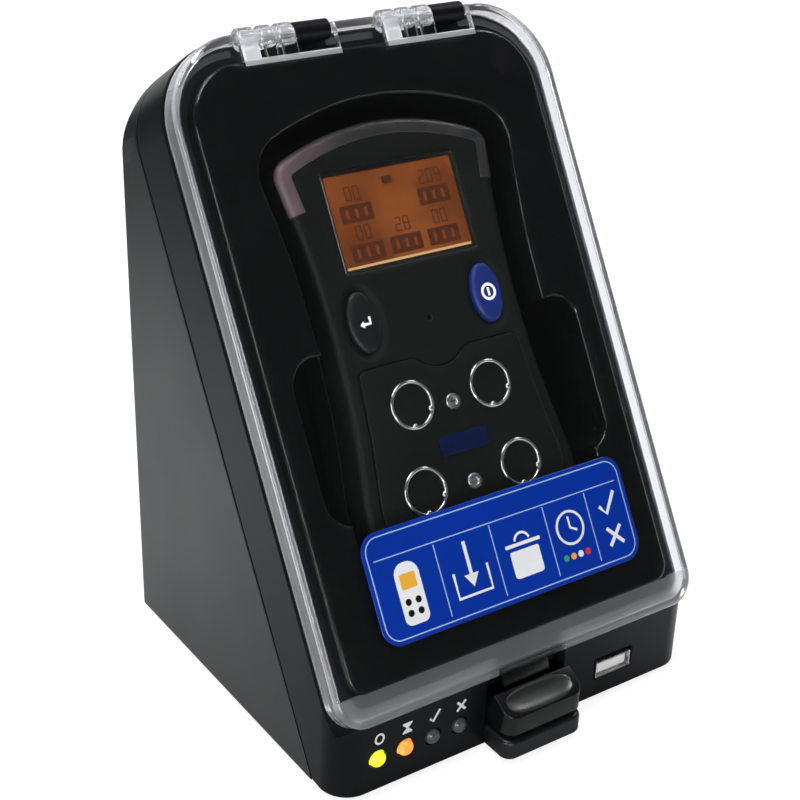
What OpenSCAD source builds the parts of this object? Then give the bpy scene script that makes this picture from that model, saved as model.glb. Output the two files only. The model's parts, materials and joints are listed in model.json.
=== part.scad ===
// Docking station with a portable gas detector under a clear hinged lid.
// The origin is on the floor under the middle of the part. The nose faces -Y and +X is right.

/* [Housing] */
// Width of the housing
body_w = 124; // [116:1:150]
// Depth of the housing, from the nose to the back
body_d = 114.4; // [110:0.2:140]
// Angle of the sloping face from the floor, in degrees
slope = 59.1; // [57:0.1:62]
// Length of the sloping face
face_l = 184.5; // [180:0.5:200]
// Height of the foot of the sloping face above the housing's underside
slope_z = 19.1; // [17:0.1:24]
// Distance of the foot of the sloping face behind the nose
slope_y = 3.2; // [2:0.1:5]
// Radius of the outline's top corners
arch_r = 23; // [12:0.5:30]
// Radius of the nose's upright corners
nose_r = 8.5; // [4:0.5:10]
// Radius of the upright corners at the back
back_r = 3; // [2.8:0.1:6]
// Thickness of the housing's walls
wall = 2.6; // [2:0.1:2.8]
// Thickness of the front shell, square to the slope
front_t = 17.8; // [16:0.1:18.5]
// Height of the nose's ledge up the slope
ledge_v = 0.5; // [0:0.1:0.8]

/* [Base] */
// Thickness of the base plate and of the nose's floor
base_t = 2.4; // [1.6:0.1:3]
// Height of the rubber feet below the housing
foot_h = 1.5; // [1:0.1:3]
// Radius of the rubber feet
foot_r = 6; // [4:0.5:8]
// Depth of the feet's seats in the base plate
foot_seat = 0.8; // [0.4:0.1:1.2]
// Distance of the feet from the housing's sides
foot_edge = 16; // [14:0.5:24]

/* [Lid] */
// Outer height of the lid above the sloping face
lid_t = 7.6; // [7.2:0.1:10]
// Thickness of the lid's clear wall
lid_wall = 2.2; // [1.6:0.1:2.4]
// Radius of the lid's outer front edge
lid_edge_r = 1.8; // [1:0.1:3]
// Radius of the lid's lower corners
lid_low_r = 9; // [6:0.5:14]
// Distance of the lid's sides inside the housing's sides
lid_inset = 0.25; // [0:0.05:1]
// Gap between the lid's rim and the sloping face
lid_gap = 0.5; // [0.4:0.05:0.8]
// Gap between the lid's lower wall and the nose's ledge
ledge_gap = 0.4; // [0.3:0.05:0.8]
// Width of the lid's hook tab
hook_w = 16; // [10:0.5:20]
// Length of the hook tab below the lid's lower wall
hook_l = 4.4; // [3:0.1:4.6]
// Thickness of the hook tab
hook_t = 2; // [1.4:0.1:2.4]

/* [Hinges] */
// Height of the hinge axis above the sloping face
hinge_w = 3.8; // [3.7:0.05:4.2]
// Distance of the hinge axis below the top of the outline
hinge_drop = 1.5; // [1.2:0.05:2]
// Outer radius of the hinge knuckles
knuckle_r = 3.2; // [2.8:0.05:3.3]
// Radius of the hinge pins
pin_r = 1.5; // [1:0.05:1.8]
// Distance of each hinge's middle from the centre line
hinge_x = 22.5; // [20:0.5:28]
// Width of each gap in the lid's top wall
hinge_gap_w = 30; // [26:0.5:32]
// Width of the housing's knuckle, on the right of each hinge
house_knuckle_w = 11; // [8:0.5:12]
// Outer radius of the housing's knuckles
house_knuckle_r = 2.9; // [2.6:0.05:3.2]
// Side clearance between the two knuckles of a hinge
knuckle_gap = 0.4; // [0.3:0.05:0.8]
// Clearance at the ends of each hinge
hinge_end = 1; // [0.7:0.1:1.5]
// Radial clearance of the hinge pins in the lid's knuckles
pin_clear = 0.05; // [0.02:0.01:0.1]

/* [Latch] */
// Width of the latch tongue
latch_w = 27.4; // [22:0.2:32]
// Reach of the latch tongue in front of the nose
latch_reach = 10.3; // [8:0.1:13]
// Height of the latch tongue
tongue_h = 6.1; // [4.5:0.1:6.5]
// Radius of the tongue's front corners
latch_r = 3.5; // [2:0.1:4.5]
// Gap between the tongue and the resting lever
latch_gap = 1.7; // [1.6:0.1:2.4]
// Clearance of the lever in its bay
bay_clear = 0.4; // [0.3:0.05:0.8]
// Depth of the latch bay behind the nose
bay_d = 9.5; // [9:0.1:11]
// Thickness of the bay's walls
bay_wall = 1.8; // [1.4:0.1:2.4]
// Radius of the latch's pivot pin
latch_pin_r = 1.5; // [1:0.05:1.8]
// Distance of the latch pivot behind the nose
pivot_y = 5; // [4:0.1:5.5]
// Height of the latch pivot above the lever's underside
pivot_up = 2.6; // [2.4:0.1:3]
// Outer radius of the latch spring
spring_r = 2.2; // [1.5:0.1:3]
// Wire thickness of the latch spring
spring_wire = 0.5; // [0.3:0.05:0.7]

/* [Cradle] */
// Distance of the raised panel's sides inside the housing's sides
panel_edge = 6.5; // [6:0.1:8]
// Lower edge of the raised panel, up the slope
panel_v0 = 8.5; // [7:0.1:12]
// Distance of the raised panel's upper edge below the top of the outline
panel_top = 7.5; // [6.5:0.1:12]
// Height of the raised panel above the sloping face
panel_h = 4.6; // [3:0.1:4.7]
// Radius of the raised panel's lower corners
panel_low_r = 6; // [3:0.5:10]
// Room around the docked detector
pocket_clear = 6; // [3:0.25:7]
// Thickness of the pocket's wall and floor
pocket_t = 2; // [1.4:0.1:2.4]
// Clearance of the pocket in the housing's opening
pocket_gap = 0.4; // [0.3:0.05:0.8]
// Distance of the finger scoops inside the housing's sides
scoop_edge = 14.5; // [14:0.1:20]
// Lower end of the finger scoops, as a share of the detector's length
scoop_at0 = 0.133; // [0.1:0.01:0.2]
// Upper end of the finger scoops, as a share of the detector's length
scoop_at1 = 0.506; // [0.4:0.01:0.57]
// Corner radius of the finger scoops
scoop_r = 8; // [4:0.5:10]
// Thickness of the rubber pads under the detector
pad_t = 1; // [0.6:0.1:1.4]

/* [Detector] */
// Lower end of the detector, up the slope
det_v0 = 36; // [34:0.5:40]
// Distance of the detector's top below the top of the outline
det_top = 28; // [27.5:0.5:34]
// Half width of the detector at its waist
det_waist = 31.2; // [30:0.2:34]
// How much wider each side is at the detector's ends
det_flare = 4.2; // [1:0.2:5]
// Fall of the detector's top edge from its middle to its corners
det_drop = 6.5; // [3:0.25:8]
// Corner radius of the detector's outline
det_r = 5.5; // [3:0.5:8]
// Height of the detector's front above the sloping face
det_front = 2; // [1:0.1:3]
// Thickness of the detector
det_t = 24; // [23:0.5:24.5]
// Depth of the detector's front case
det_split = 11; // [9:0.5:13]
// Thickness of the detector's case
det_wall = 2; // [1.6:0.1:2.4]
// Thickness of the detector's side walls
det_side_t = 6; // [5.8:0.1:6.4]
// Width of the alarm light bar
bar_w = 4.6; // [3:0.1:5]
// Length of the alarm light bar's legs below the detector's top
bar_leg = 23.5; // [17:0.5:30]
// Depth of the alarm light bar
bar_t = 4; // [3:0.1:5]
// Width of the display
lcd_w = 42; // [34:0.5:46]
// Height of the display
lcd_h = 26; // [20:0.5:28]
// Place of the display's middle, as a share of the detector's length
lcd_at = 0.783; // [0.77:0.001:0.79]
// Distance of the buttons from the centre line
button_u = 20.8; // [18:0.2:22]
// Place of the buttons' middle, as a share of the detector's length
button_at = 0.556; // [0.54:0.001:0.565]
// Half width of a button
button_a = 4.9; // [3.5:0.1:5.5]
// Half height of a button
button_b = 8.6; // [6:0.1:9]
// How far a button stands out of the case
button_proud = 0.8; // [0.4:0.1:1.2]
// Travel of a button
button_travel = 1; // [0.6:0.1:1.2]
// Clearance round a button
button_clear = 0.3; // [0.3:0.05:0.5]
// Upper edge of the sensor cover, as a share of the detector's length
cover_at = 0.4506; // [0.44:0.0002:0.455]
// Depth of the dip in the sensor cover's upper edge
cover_dip = 4; // [2:0.2:5]
// Width of the detector's border beside the sensor cover
cover_edge = 4.6; // [3.5:0.1:6]
// Height of the sensor cover above the case
cover_proud = 0.4; // [0.2:0.05:0.8]
// Depth of the sensor cover's seat
cover_seat = 1.2; // [0.8:0.1:1.4]
// Outer radius of a sensor ring
ring_r = 6.9; // [5:0.1:7.5]
// Width of a sensor ring
ring_w = 1; // [0.6:0.1:1.4]
// Height of a sensor ring above the cover
ring_proud = 0.5; // [0.2:0.05:0.8]
// Radius of a gas sensor
sensor_r = 8; // [7.6:0.1:9]
// Distance of the upper sensors from the centre line
sensor_u1 = 13.3; // [12:0.1:15]
// Distance of the lower sensors from the centre line
sensor_u0 = 16.3; // [14:0.1:18]
// Place of the upper sensors, as a share of the detector's length
sensor_at1 = 0.3485; // [0.34:0.0005:0.355]
// Place of the lower sensors, as a share of the detector's length
sensor_at0 = 0.1527; // [0.145:0.0001:0.16]
// Width of the bare name plate
plate_w = 16.5; // [10:0.5:17]
// Height of the bare name plate
plate_h = 5.4; // [4.6:0.2:8]

/* [Label] */
// Width of the label on the lid
label_w = 89; // [70:0.5:96]
// Height of the label
label_h = 30.6; // [24:0.2:36]
// Lower edge of the label, up the slope
label_v0 = 18.2; // [14:0.2:24]
// Sideways offset of the label
label_u = 1.3; // [-4:0.1:4]
// Corner radius of the label
label_r = 5.5; // [3:0.25:8]
// Thickness of the label
label_t = 0.2; // [0.1:0.05:0.3]

/* [Nose fittings] */
// Radius of a status lamp
lamp_r = 2.65; // [2:0.05:3]
// Distance between status lamps
lamp_pitch = 8.87; // [7.5:0.01:9.5]
// Distance of the first status lamp from the housing's left side
lamp_edge = 12.7; // [12:0.1:14]
// Height of the status lamps
lamp_z = 10.2; // [9:0.1:12]
// How far a status lamp stands out of the nose
lamp_proud = 0.6; // [0.2:0.1:1]
// Distance of the USB socket's middle from the housing's right side
usb_edge = 29.3; // [22:0.1:32]
// Height of the USB socket's middle
usb_z = 9; // [8.5:0.1:11]
// Width of the USB socket's shell
usb_w = 13.1; // [12:0.1:14]
// Height of the USB socket's shell
usb_h = 5.7; // [5:0.1:6.2]
// Depth of the USB socket's shell
usb_d = 14; // [12:0.5:16]
// Sheet thickness of the USB socket's shell
usb_t = 0.35; // [0.25:0.05:0.5]

/* [Rear fittings] */
// Radius of the hose barbs' plain length
barb_r = 2.5; // [2:0.1:3]
// Length of the hose barbs behind the housing
barb_l = 14; // [10:0.5:18]
// Radius of the fittings' hexagon-free collar
collar_r = 5.5; // [4.5:0.1:7]
// Bore of the fittings and of the gas passages
gas_bore_r = 1.2; // [0.8:0.1:1.6]
// Outer radius of the gas tubes
tube_r = 2.4; // [1.8:0.1:2.6]
// Height of the rear fittings
port_z = 14; // [12:0.5:16]
// Place of the gas inlet
inlet_x = 6; // [2:0.5:10]
// Place of the air inlet
air_x = 26; // [22:0.5:30]
// Place of the exhaust, left of the centre line
exhaust_x = 28; // [24:0.5:32]
// Distance of the power jack from the housing's right side
jack_edge = 15; // [13:0.5:17]
// Opening radius of the power jack
jack_r = 2.9; // [2.5:0.05:3.2]

/* [Inside] */
// Thickness of the circuit boards
board_t = 1.6; // [1:0.1:2]
// Clearance of screws and fittings in their holes
hole_clear = 0.15; // [0.1:0.01:0.25]
// Radius of the case screws
screw_r = 1.5; // [1.2:0.1:1.6]
// Radius of the case screws' heads
head_r = 2.8; // [2.4:0.1:2.9]
// Distance of the case screws from the housing's sides
screw_edge = 7.6; // [7.4:0.1:8]
// Height of the lower case screws
screw_z0 = 30; // [28:0.5:34]
// Height of the upper case screws
screw_z1 = 128; // [120:0.5:132]
// Width of the pump head
pump_w = 24; // [20:0.5:26]
// Height of the pump head and the manifold
pump_h = 22; // [18:0.5:24]
// Length of the pump motor
motor_l = 24; // [18:0.5:28]
// Radius of the pump motor
motor_r = 10.5; // [8:0.25:10.75]

/* [Hidden] */
$fn = 48;

// Cutters run past the faces that they cut by this much
past = 1;
// The whole model is centred front to back, from the latch's front to the hose barbs' ends
y_shift = (latch_reach - body_d - barb_l) / 2;
half_w = body_w / 2;
// Places that follow the housing's width and the sloping face's length
panel_v1 = face_l - panel_top;
det_v1 = face_l - det_top;
function det_at(share) = det_v0 + share * (det_v1 - det_v0);
bar_v0 = det_v1 - bar_leg;
lcd_v = det_at(lcd_at);
button_v = det_at(button_at);
cover_v1 = det_at(cover_at);
sensor_v1 = det_at(sensor_at1);
sensor_v0 = det_at(sensor_at0);
scoop_v0 = det_at(scoop_at0);
scoop_v1 = det_at(scoop_at1);
scoop_u = half_w - scoop_edge;
lamp_x = half_w - lamp_edge;
usb_x = half_w - usb_edge;
jack_x = half_w - jack_edge;
far = body_w + body_d + face_l;
// Places on the slope: across is u, up the slope is v and out of it is w
function slope_at_y(v, w) = slope_y + v * cos(slope) - w * sin(slope);
function slope_at_z(v, w) = slope_z + v * sin(slope) + w * cos(slope);
// Where a level line at height z and depth w off the slope meets the slope
function level_y(z, w) = slope_at_y((z - slope_z - w * cos(slope)) / sin(slope), w);

lid_half = half_w - lid_inset;
lid_v0 = ledge_v + ledge_gap;
lid_v1 = face_l - lid_inset;
hinge_v = face_l - hinge_drop;
hinge_cut_v = panel_v1 - 0.5;
lid_knuckle_w = hinge_gap_w - 2 * hinge_end - knuckle_gap - house_knuckle_w;
function house_knuckle_u(s) = s * hinge_x + hinge_gap_w / 2 - hinge_end - house_knuckle_w;
function lid_knuckle_u(s) = s * hinge_x - hinge_gap_w / 2 + hinge_end;
seal_w = 1.4;
seal_depth = 1;
seal_proud = 0.25;
seal_in = 0.4;

panel_w = body_w - 2 * panel_edge;
panel_r = arch_r - panel_edge;
det_back = det_front - det_t;
det_part = det_front - det_split;
pocket_floor = det_back - pad_t;
pocket_back = pocket_floor - pocket_t;
det_mid = (det_v0 + det_v1) / 2 + 5;
det_half_l = (det_v1 - det_v0) / 2 - 14;

bay_half = latch_w / 2;
lever_half = bay_half - bay_clear;
lever_z = tongue_h + latch_gap;
lever_front = 0.3 - latch_reach;
lever_nose_h = 6;
lever_peak_y = -2.6;
lever_peak_z = 17.9;
lever_back_y = -2.2;
lever_arm_h = 5.2;
lever_arm_y = 7.4;
pivot_z = lever_z + pivot_up;
bay_roof = 16.4;
spring_y = -5.5;
spring_seat = 3;
spring_cap = 2;

face_in = -wall;
lamp_flange_r = lamp_r + 0.6;
lamp_flange_t = 0.8;
lamp_back = wall + lamp_flange_t + 0.6;
lamp_board_y = wall + 4.4;
lamp_board_z0 = 4;
lamp_board_h = 13;
usb_board_z = usb_z - usb_h / 2 - board_t;
usb_front = -0.2;

board_x = half_w - 20;
board_z0 = 34;
board_z1 = 108;
board_y = body_d - wall - 7.6;
post_r = 3;
chip_h = 3;

boss_r = 4;
boss_h = 14;
base_boss_x = half_w - 12;
base_boss_y = [30, body_d - 22.4];
base_y0 = level_y(base_t, -front_t) + 0.4;

well_r = head_r + 0.4;
well_wall = 1.2;
well_floor = 3;
case_boss_past = 5;

pump_y0 = 60;
manifold_x0 = -8;
manifold_x1 = 38;
manifold_y0 = 60;
manifold_y1 = 82;
valve_w = 12;
valve_h = 20;
nozzle_v = det_v0 + 9;
nozzle_l = 6;
nozzle_r = 3;
supply_x = 20;

sensor_places = [[-sensor_u1, sensor_v1], [sensor_u1, sensor_v1], [-sensor_u0, sensor_v0], [sensor_u0, sensor_v0]];
cover_screw_v = [sensor_v1 - 2, sensor_v0 - 1.2];
det_screw_places = [for (s = [-1, 1], v = [det_v0 + 12, det_v1 - 20]) [s * (det_side(v) - det_side_t / 2), v]];
det_screw_r = 1.1;
det_board_w = 2 * (det_waist - det_side_t) - 4.4;
det_head_r = 2;
cradle_screw_places = [for (s = [-1, 1]) each [[s * (panel_w / 2 - 25.5), panel_v1 - 6], [s * (panel_w / 2 - 15.5), panel_v0 + 10]]];
pin_places = [for (k = [-1.5:1:1.5]) [k * 6, det_v0 + 14]];
pad_places = [for (s = [-1, 1], v = [det_v0 + 26, det_v1 - 32]) [s * 20, v]];
lid_sensor_place = [panel_w / 2 - 9, panel_v1 - 10];
lid_sensor_r = 5;

// Frames
module station() translate([0, y_shift, foot_h]) children();
module on_slope() station() translate([0, slope_y, slope_z]) rotate([slope, 0, 0]) children();
module slab(w0, w1) translate([0, 0, w0]) linear_extrude(w1 - w0) children();
module rod_x(x0, x1, y, z, r) translate([x0, y, z]) rotate([0, 90, 0]) cylinder(h = x1 - x0, r = r);
module rod_y(x, y0, y1, z, r) translate([x, y0, z]) rotate([-90, 0, 0]) cylinder(h = y1 - y0, r = r);
module rod_w(place, w0, w1, r) translate([place[0], place[1], w0]) cylinder(h = w1 - w0, r = r);
module block(x0, x1, y0, y1, z0, z1) translate([x0, y0, z0]) cube([x1 - x0, y1 - y0, z1 - z0]);

// A rectangle with its lower corners rounded by r0 and its upper corners by r1
module panel_2d(x0, x1, y0, y1, r0, r1) {
    translate([x0, y0 + r0]) square([x1 - x0, y1 - y0 - r0 - r1]);
    if (r0 > 0) {
        translate([x0 + r0, y0]) square([x1 - x0 - 2 * r0, r0 + past]);
        for (x = [x0 + r0, x1 - r0]) translate([x, y0 + r0]) circle(r0);
    }
    if (r1 > 0) {
        translate([x0 + r1, y1 - r1 - past]) square([x1 - x0 - 2 * r1, r1 + past]);
        for (x = [x0 + r1, x1 - r1]) translate([x, y1 - r1]) circle(r1);
    }
}
module centred_2d(w, h, r) panel_2d(-w / 2, w / 2, -h / 2, h / 2, r, r);

// The housing seen from above and seen square to the slope, drawn in by i
module plan_2d(i) panel_2d(i - half_w, half_w - i, i, body_d - i, nose_r - i, back_r - i);
module arch_2d(i) panel_2d(i - half_w, half_w - i, -face_l / 3, face_l - i, 0, arch_r - i);
module prism(i, z0) translate([0, 0, z0]) linear_extrude(far) plan_2d(i);
module slope_frame() translate([0, slope_y, slope_z]) rotate([slope, 0, 0]) children();

// The detector's outline: a shallow crown and drawn-in sides
function det_side(v) = det_waist + det_flare * min(1, pow((v - det_mid) / det_half_l, 2));
function det_crown(u) = det_v1 - det_drop * pow(u / det_waist, 2);
module det_2d(out) {
    steps = 16;
    side_top = det_crown(det_side(det_v1 - det_drop));
    side = [for (k = [0:steps]) let (v = det_v0 + (side_top - det_v0) * k / steps) [det_side(v), v]];
    crown = [for (k = [1:steps - 1]) let (u = side[steps][0] * (1 - 2 * k / steps)) [u, det_crown(u)]];
    mirrored = [for (k = [steps:-1:0]) [-side[k][0], side[k][1]]];
    offset(r = out + det_r) offset(delta = -det_r) polygon(concat(side, crown, mirrored));
}
module pocket_2d(out) {
    det_2d(pocket_clear + out);
    panel_2d(-scoop_u - out, scoop_u + out, scoop_v0 - out, scoop_v1 + out, scoop_r + out, scoop_r + out);
}
module button_2d(out) {
    steps = 40;
    polygon([for (k = [0:steps - 1]) let (a = 360 * k / steps)
        [(button_a + out) * cos(a), (button_b + out) * sin(a)]]);
}
module cover_2d(out) {
    dip_w = 22;
    difference() {
        intersection() {
            det_2d(out - cover_edge);
            translate([-half_w, det_v0]) square([body_w, cover_v1 + out - det_v0]);
        }
        translate([0, cover_v1 - cover_dip + dip_w / 2]) circle(d = dip_w - 2 * out);
    }
}
module bar_2d(out) intersection() {
    difference() {
        det_2d(0);
        det_2d(-bar_w - out);
    }
    translate([-half_w, bar_v0 - out]) square([body_w, face_l]);
}

// A round tube in an upright plane, swept along [y, z] points
module tube(x, route, r, sides = 8) {
    n = len(route);
    function dir(k) = let (d = route[min(k + 1, n - 1)] - route[max(k - 1, 0)]) d / norm(d);
    points = [for (k = [0:n - 1]) let (d = dir(k)) for (s = [0:sides - 1]) let (a = 360 * s / sides)
        [x + r * cos(a), route[k][0] - d[1] * r * sin(a), route[k][1] + d[0] * r * sin(a)]];
    walls = [for (k = [0:n - 2], s = [0:sides - 1]) let (a = k * sides + s, b = k * sides + (s + 1) % sides)
        each [[a, b, b + sides], [a, b + sides, a + sides]]];
    ends = [[for (s = [sides - 1:-1:0]) s], [for (s = [0:sides - 1]) (n - 1) * sides + s]];
    polyhedron(points, concat(walls, ends));
}

// Housing
module case_screw_lines() for (s = [-1, 1], z = [screw_z0, screw_z1])
    translate([s * (half_w - screw_edge), 0, z]) children();
function boss_end(z) = level_y(z, -front_t) + case_boss_past;
module along_y(y0, y1, r) translate([0, y0, 0]) rotate([-90, 0, 0]) cylinder(h = y1 - y0, r = r);

module rear_shell() color("#2c2d30") station() difference() {
    union() {
        difference() {
            intersection() {
                prism(0, 0);
                slope_frame() slab(-far, -front_t) arch_2d(0);
            }
            intersection() {
                prism(wall, -past);
                slope_frame() slab(-far, past - front_t) arch_2d(wall);
            }
        }
        // Screw wells that reach forward from the back wall, each with a web to the side wall
        for (s = [-1, 1], z = [screw_z0, screw_z1]) {
            translate([s * (half_w - screw_edge), 0, z]) along_y(boss_end(z), body_d - wall / 2, well_r + well_wall);
            x = s > 0 ? half_w - screw_edge + well_r : wall / 2 - half_w;
            block(x, x + screw_edge - well_r - wall / 2, boss_end(z) + well_floor, body_d - wall / 2, z - 1, z + 1);
        }
        // Bosses for the base plate's screws, each with a web to the side wall
        for (s = [-1, 1], y = base_boss_y) {
            translate([s * base_boss_x, y, base_t]) cylinder(h = boss_h, r = boss_r);
            x = s > 0 ? base_boss_x : wall / 2 - half_w;
            block(x, x + half_w - base_boss_x - wall / 2, y - 1, y + 1, base_t, base_t + boss_h);
        }
        // Posts for the main board
        for (x = [-1, 1] * (board_x - 6), z = [board_z0 + 6, board_z1 - 6])
            rod_y(x, board_y + board_t, body_d - wall / 2, z, post_r);
    }
    for (z = [screw_z0, screw_z1]) for (s = [-1, 1]) translate([s * (half_w - screw_edge), 0, z]) {
        along_y(boss_end(z) + well_floor, body_d + past, well_r);
        along_y(boss_end(z) - past, body_d, screw_r + hole_clear);
    }
    for (s = [-1, 1], y = base_boss_y)
        translate([s * base_boss_x, y, base_t - past]) cylinder(h = boss_h - 2 + past, r = screw_r + hole_clear);
    for (x = [-1, 1] * (board_x - 6), z = [board_z0 + 6, board_z1 - 6])
        rod_y(x, board_y + board_t - past, body_d - wall, z, screw_r + hole_clear);
    for (x = [inlet_x, air_x, -exhaust_x, jack_x])
        rod_y(x, body_d - wall - past, body_d + past, port_z, barb_r + 1 + hole_clear);
}

module front_shell() color("#1d1d1f") station() difference() {
    union() {
        difference() {
            front_form(0, -front_t, 0, ledge_v, 0);
            front_form(wall, -front_t - past, face_in, ledge_v - wall, base_t);
        }
        // Latch bay
        intersection() {
            front_form(0, -front_t, 0, ledge_v, 0);
            block(-bay_half - bay_wall, bay_half + bay_wall, 0, bay_d + bay_wall, 0, bay_roof + bay_wall);
        }
        // Bosses for the case screws
        for (s = [-1, 1], z = [screw_z0, screw_z1]) {
            x0 = s > 0 ? half_w - screw_edge : wall / 2 - half_w;
            intersection() {
                translate([s * (half_w - screw_edge), 0, z]) along_y(level_y(z, boss_r), boss_end(z), boss_r);
                slope_frame() slab(-far, face_in / 2) square(2 * far, center = true);
            }
            block(x0, x0 + screw_edge - wall / 2, level_y(z, face_in) + 1, boss_end(z) - case_boss_past - 1, z - 1, z + 1);
        }
        // Posts for the lamp board and the USB board
        for (k = [0.5, 2.5]) rod_y(k * lamp_pitch - lamp_x, wall / 2, lamp_board_y, lamp_board_z0 + lamp_board_h - 2, 1.6);
        for (s = [-1, 1]) translate([usb_x + s * 7.5, 9, base_t / 2]) cylinder(h = usb_board_z - base_t / 2, r = 1.8);
        // Hinge knuckles
        slope_frame() for (s = [-1, 1]) {
            u = house_knuckle_u(s);
            rod_x(u, u + house_knuckle_w, hinge_v, hinge_w, house_knuckle_r);
            block(u, u + house_knuckle_w, hinge_v - 2.4, face_l, -wall / 2, hinge_w);
        }
    }
    slope_frame() {
        slab(face_in - past, past) pocket_2d(pocket_t + pocket_gap);
        for (s = [-1, 1]) rod_x(s * hinge_x - hinge_gap_w / 2, s * hinge_x + hinge_gap_w / 2, hinge_v, hinge_w, pin_r);
        for (p = cradle_screw_places) rod_w(p, face_in - past, past, screw_r + hole_clear);
        rod_w(lid_sensor_place, face_in - past, past, lid_sensor_r + hole_clear);
        slab(-seal_depth, past) seal_2d();
    }
    // The bay is open at the front and at the top, in front of the lid's lower wall
    block(-bay_half, bay_half, -latch_reach - past, slope_y + 0.2, tongue_h, slope_z + 2 * lid_t);
    block(-bay_half, bay_half, 0, bay_d, tongue_h, bay_roof);
    rod_x(-bay_half - bay_wall - past, bay_half + bay_wall + past, pivot_y, pivot_z, latch_pin_r);
    for (k = [0:3]) rod_y(k * lamp_pitch - lamp_x, -past, wall + past, lamp_z, lamp_r + hole_clear);
    block(usb_x - usb_w / 2 - 0.3, usb_x + usb_w / 2 + 0.3, -past, wall + past,
        usb_z - usb_h / 2 - 0.3, usb_z + usb_h / 2 + 0.3);
    for (s = [-1, 1], z = [screw_z0, screw_z1]) translate([s * (half_w - screw_edge), 0, z])
        along_y(boss_end(z) - 12, boss_end(z) + past, screw_r + hole_clear);
}
// The front shell's form: the slab behind the sloping face and the nose below its ledge
module front_form(i, w0, w1, v_ledge, z0) intersection() {
    prism(i, z0);
    slope_frame() {
        slab(w0, w1) arch_2d(i);
        slab(w1 - past, lid_t * 2) translate([-body_w, -face_l / 3]) square([2 * body_w, v_ledge + face_l / 3]);
    }
}
module seal_2d() difference() {
    panel_2d(seal_in - lid_half, lid_half - seal_in, lid_v0 + seal_in, hinge_v - 1.6,
        lid_low_r - seal_in, arch_r - seal_in);
    panel_2d(seal_in + seal_w - lid_half, lid_half - seal_in - seal_w, lid_v0 + seal_in + seal_w,
        hinge_v - 3.6, lid_low_r - seal_in - seal_w, arch_r - seal_in - seal_w);
    for (s = [-1, 1]) translate([s * hinge_x - hinge_gap_w / 2, hinge_v - 3.7]) square([hinge_gap_w, 2 * arch_r]);
}

module base_plate() color("#232426") station() difference() {
    intersection() {
        linear_extrude(base_t) plan_2d(wall + hole_clear);
        block(-half_w, half_w, base_y0, body_d, -past, base_t + past);
    }
    for (p = foot_places()) translate([p[0], p[1], -past]) cylinder(h = foot_seat + past, r = foot_r);
    for (s = [-1, 1], y = base_boss_y) translate([s * base_boss_x, y, -past]) {
        cylinder(h = base_t + 2 * past, r = screw_r + hole_clear);
        cylinder(h = 1 + past, r = head_r + hole_clear);
    }
}
function foot_places() = [for (s = [-1, 1], y = [base_y0 + foot_r + 2, body_d - foot_edge + 2]) [s * (half_w - foot_edge - 12), y]];
module rubber_feet() color("#151515") station() for (p = foot_places())
    translate([p[0], p[1], -foot_h]) cylinder(h = foot_h + foot_seat, r = foot_r);

// Cradle
module dock_cradle() color("#121213") on_slope() difference() {
    union() {
        slab(0, panel_h) panel_2d(-panel_w / 2, panel_w / 2, panel_v0, panel_v1, panel_low_r, panel_r);
        slab(pocket_back, panel_h / 2) pocket_2d(pocket_t);
        for (x = [supply_x, -exhaust_x]) rod_w([x, nozzle_v], pocket_back - nozzle_l, pocket_floor, nozzle_r);
    }
    slab(pocket_floor, panel_h + past) pocket_2d(0);
    for (x = [supply_x, -exhaust_x]) rod_w([x, nozzle_v], pocket_back - nozzle_l - past, pocket_floor + past, gas_bore_r);
    for (p = pin_places) rod_w(p, pocket_back - past, pocket_floor + past, 1 + hole_clear);
    for (p = cradle_screw_places) rod_w(p, -past, panel_h - 1, screw_r + hole_clear);
    rod_w(lid_sensor_place, -past, panel_h + past, lid_sensor_r + hole_clear);
}
module dock_pads() color("#1c1c1c") on_slope() for (p = pad_places)
    translate([p[0], p[1]]) slab(pocket_floor, det_back) centred_2d(14, 10, 3);
module contact_pins() color("#c9a24a") on_slope() for (p = pin_places) {
    rod_w(p, pocket_back - 4, det_back, 1);
    rod_w(p, pocket_back - 2, pocket_back, 1.8);
}
module lid_seal() color("#3a3b3d") on_slope() slab(-seal_depth, seal_proud) seal_2d();
module lid_sensor() color("#0c0c0d") on_slope() {
    rod_w(lid_sensor_place, face_in, panel_h + 0.2, lid_sensor_r);
    rod_w(lid_sensor_place, face_in - 4, face_in, lid_sensor_r + 1.5);
}

// Hinges and lid
module hinge_pins() color("silver") on_slope() for (s = [-1, 1])
    rod_x(s * hinge_x - hinge_gap_w / 2 + 0.6, s * hinge_x + hinge_gap_w / 2 - 0.6, hinge_v, hinge_w, pin_r);

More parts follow.
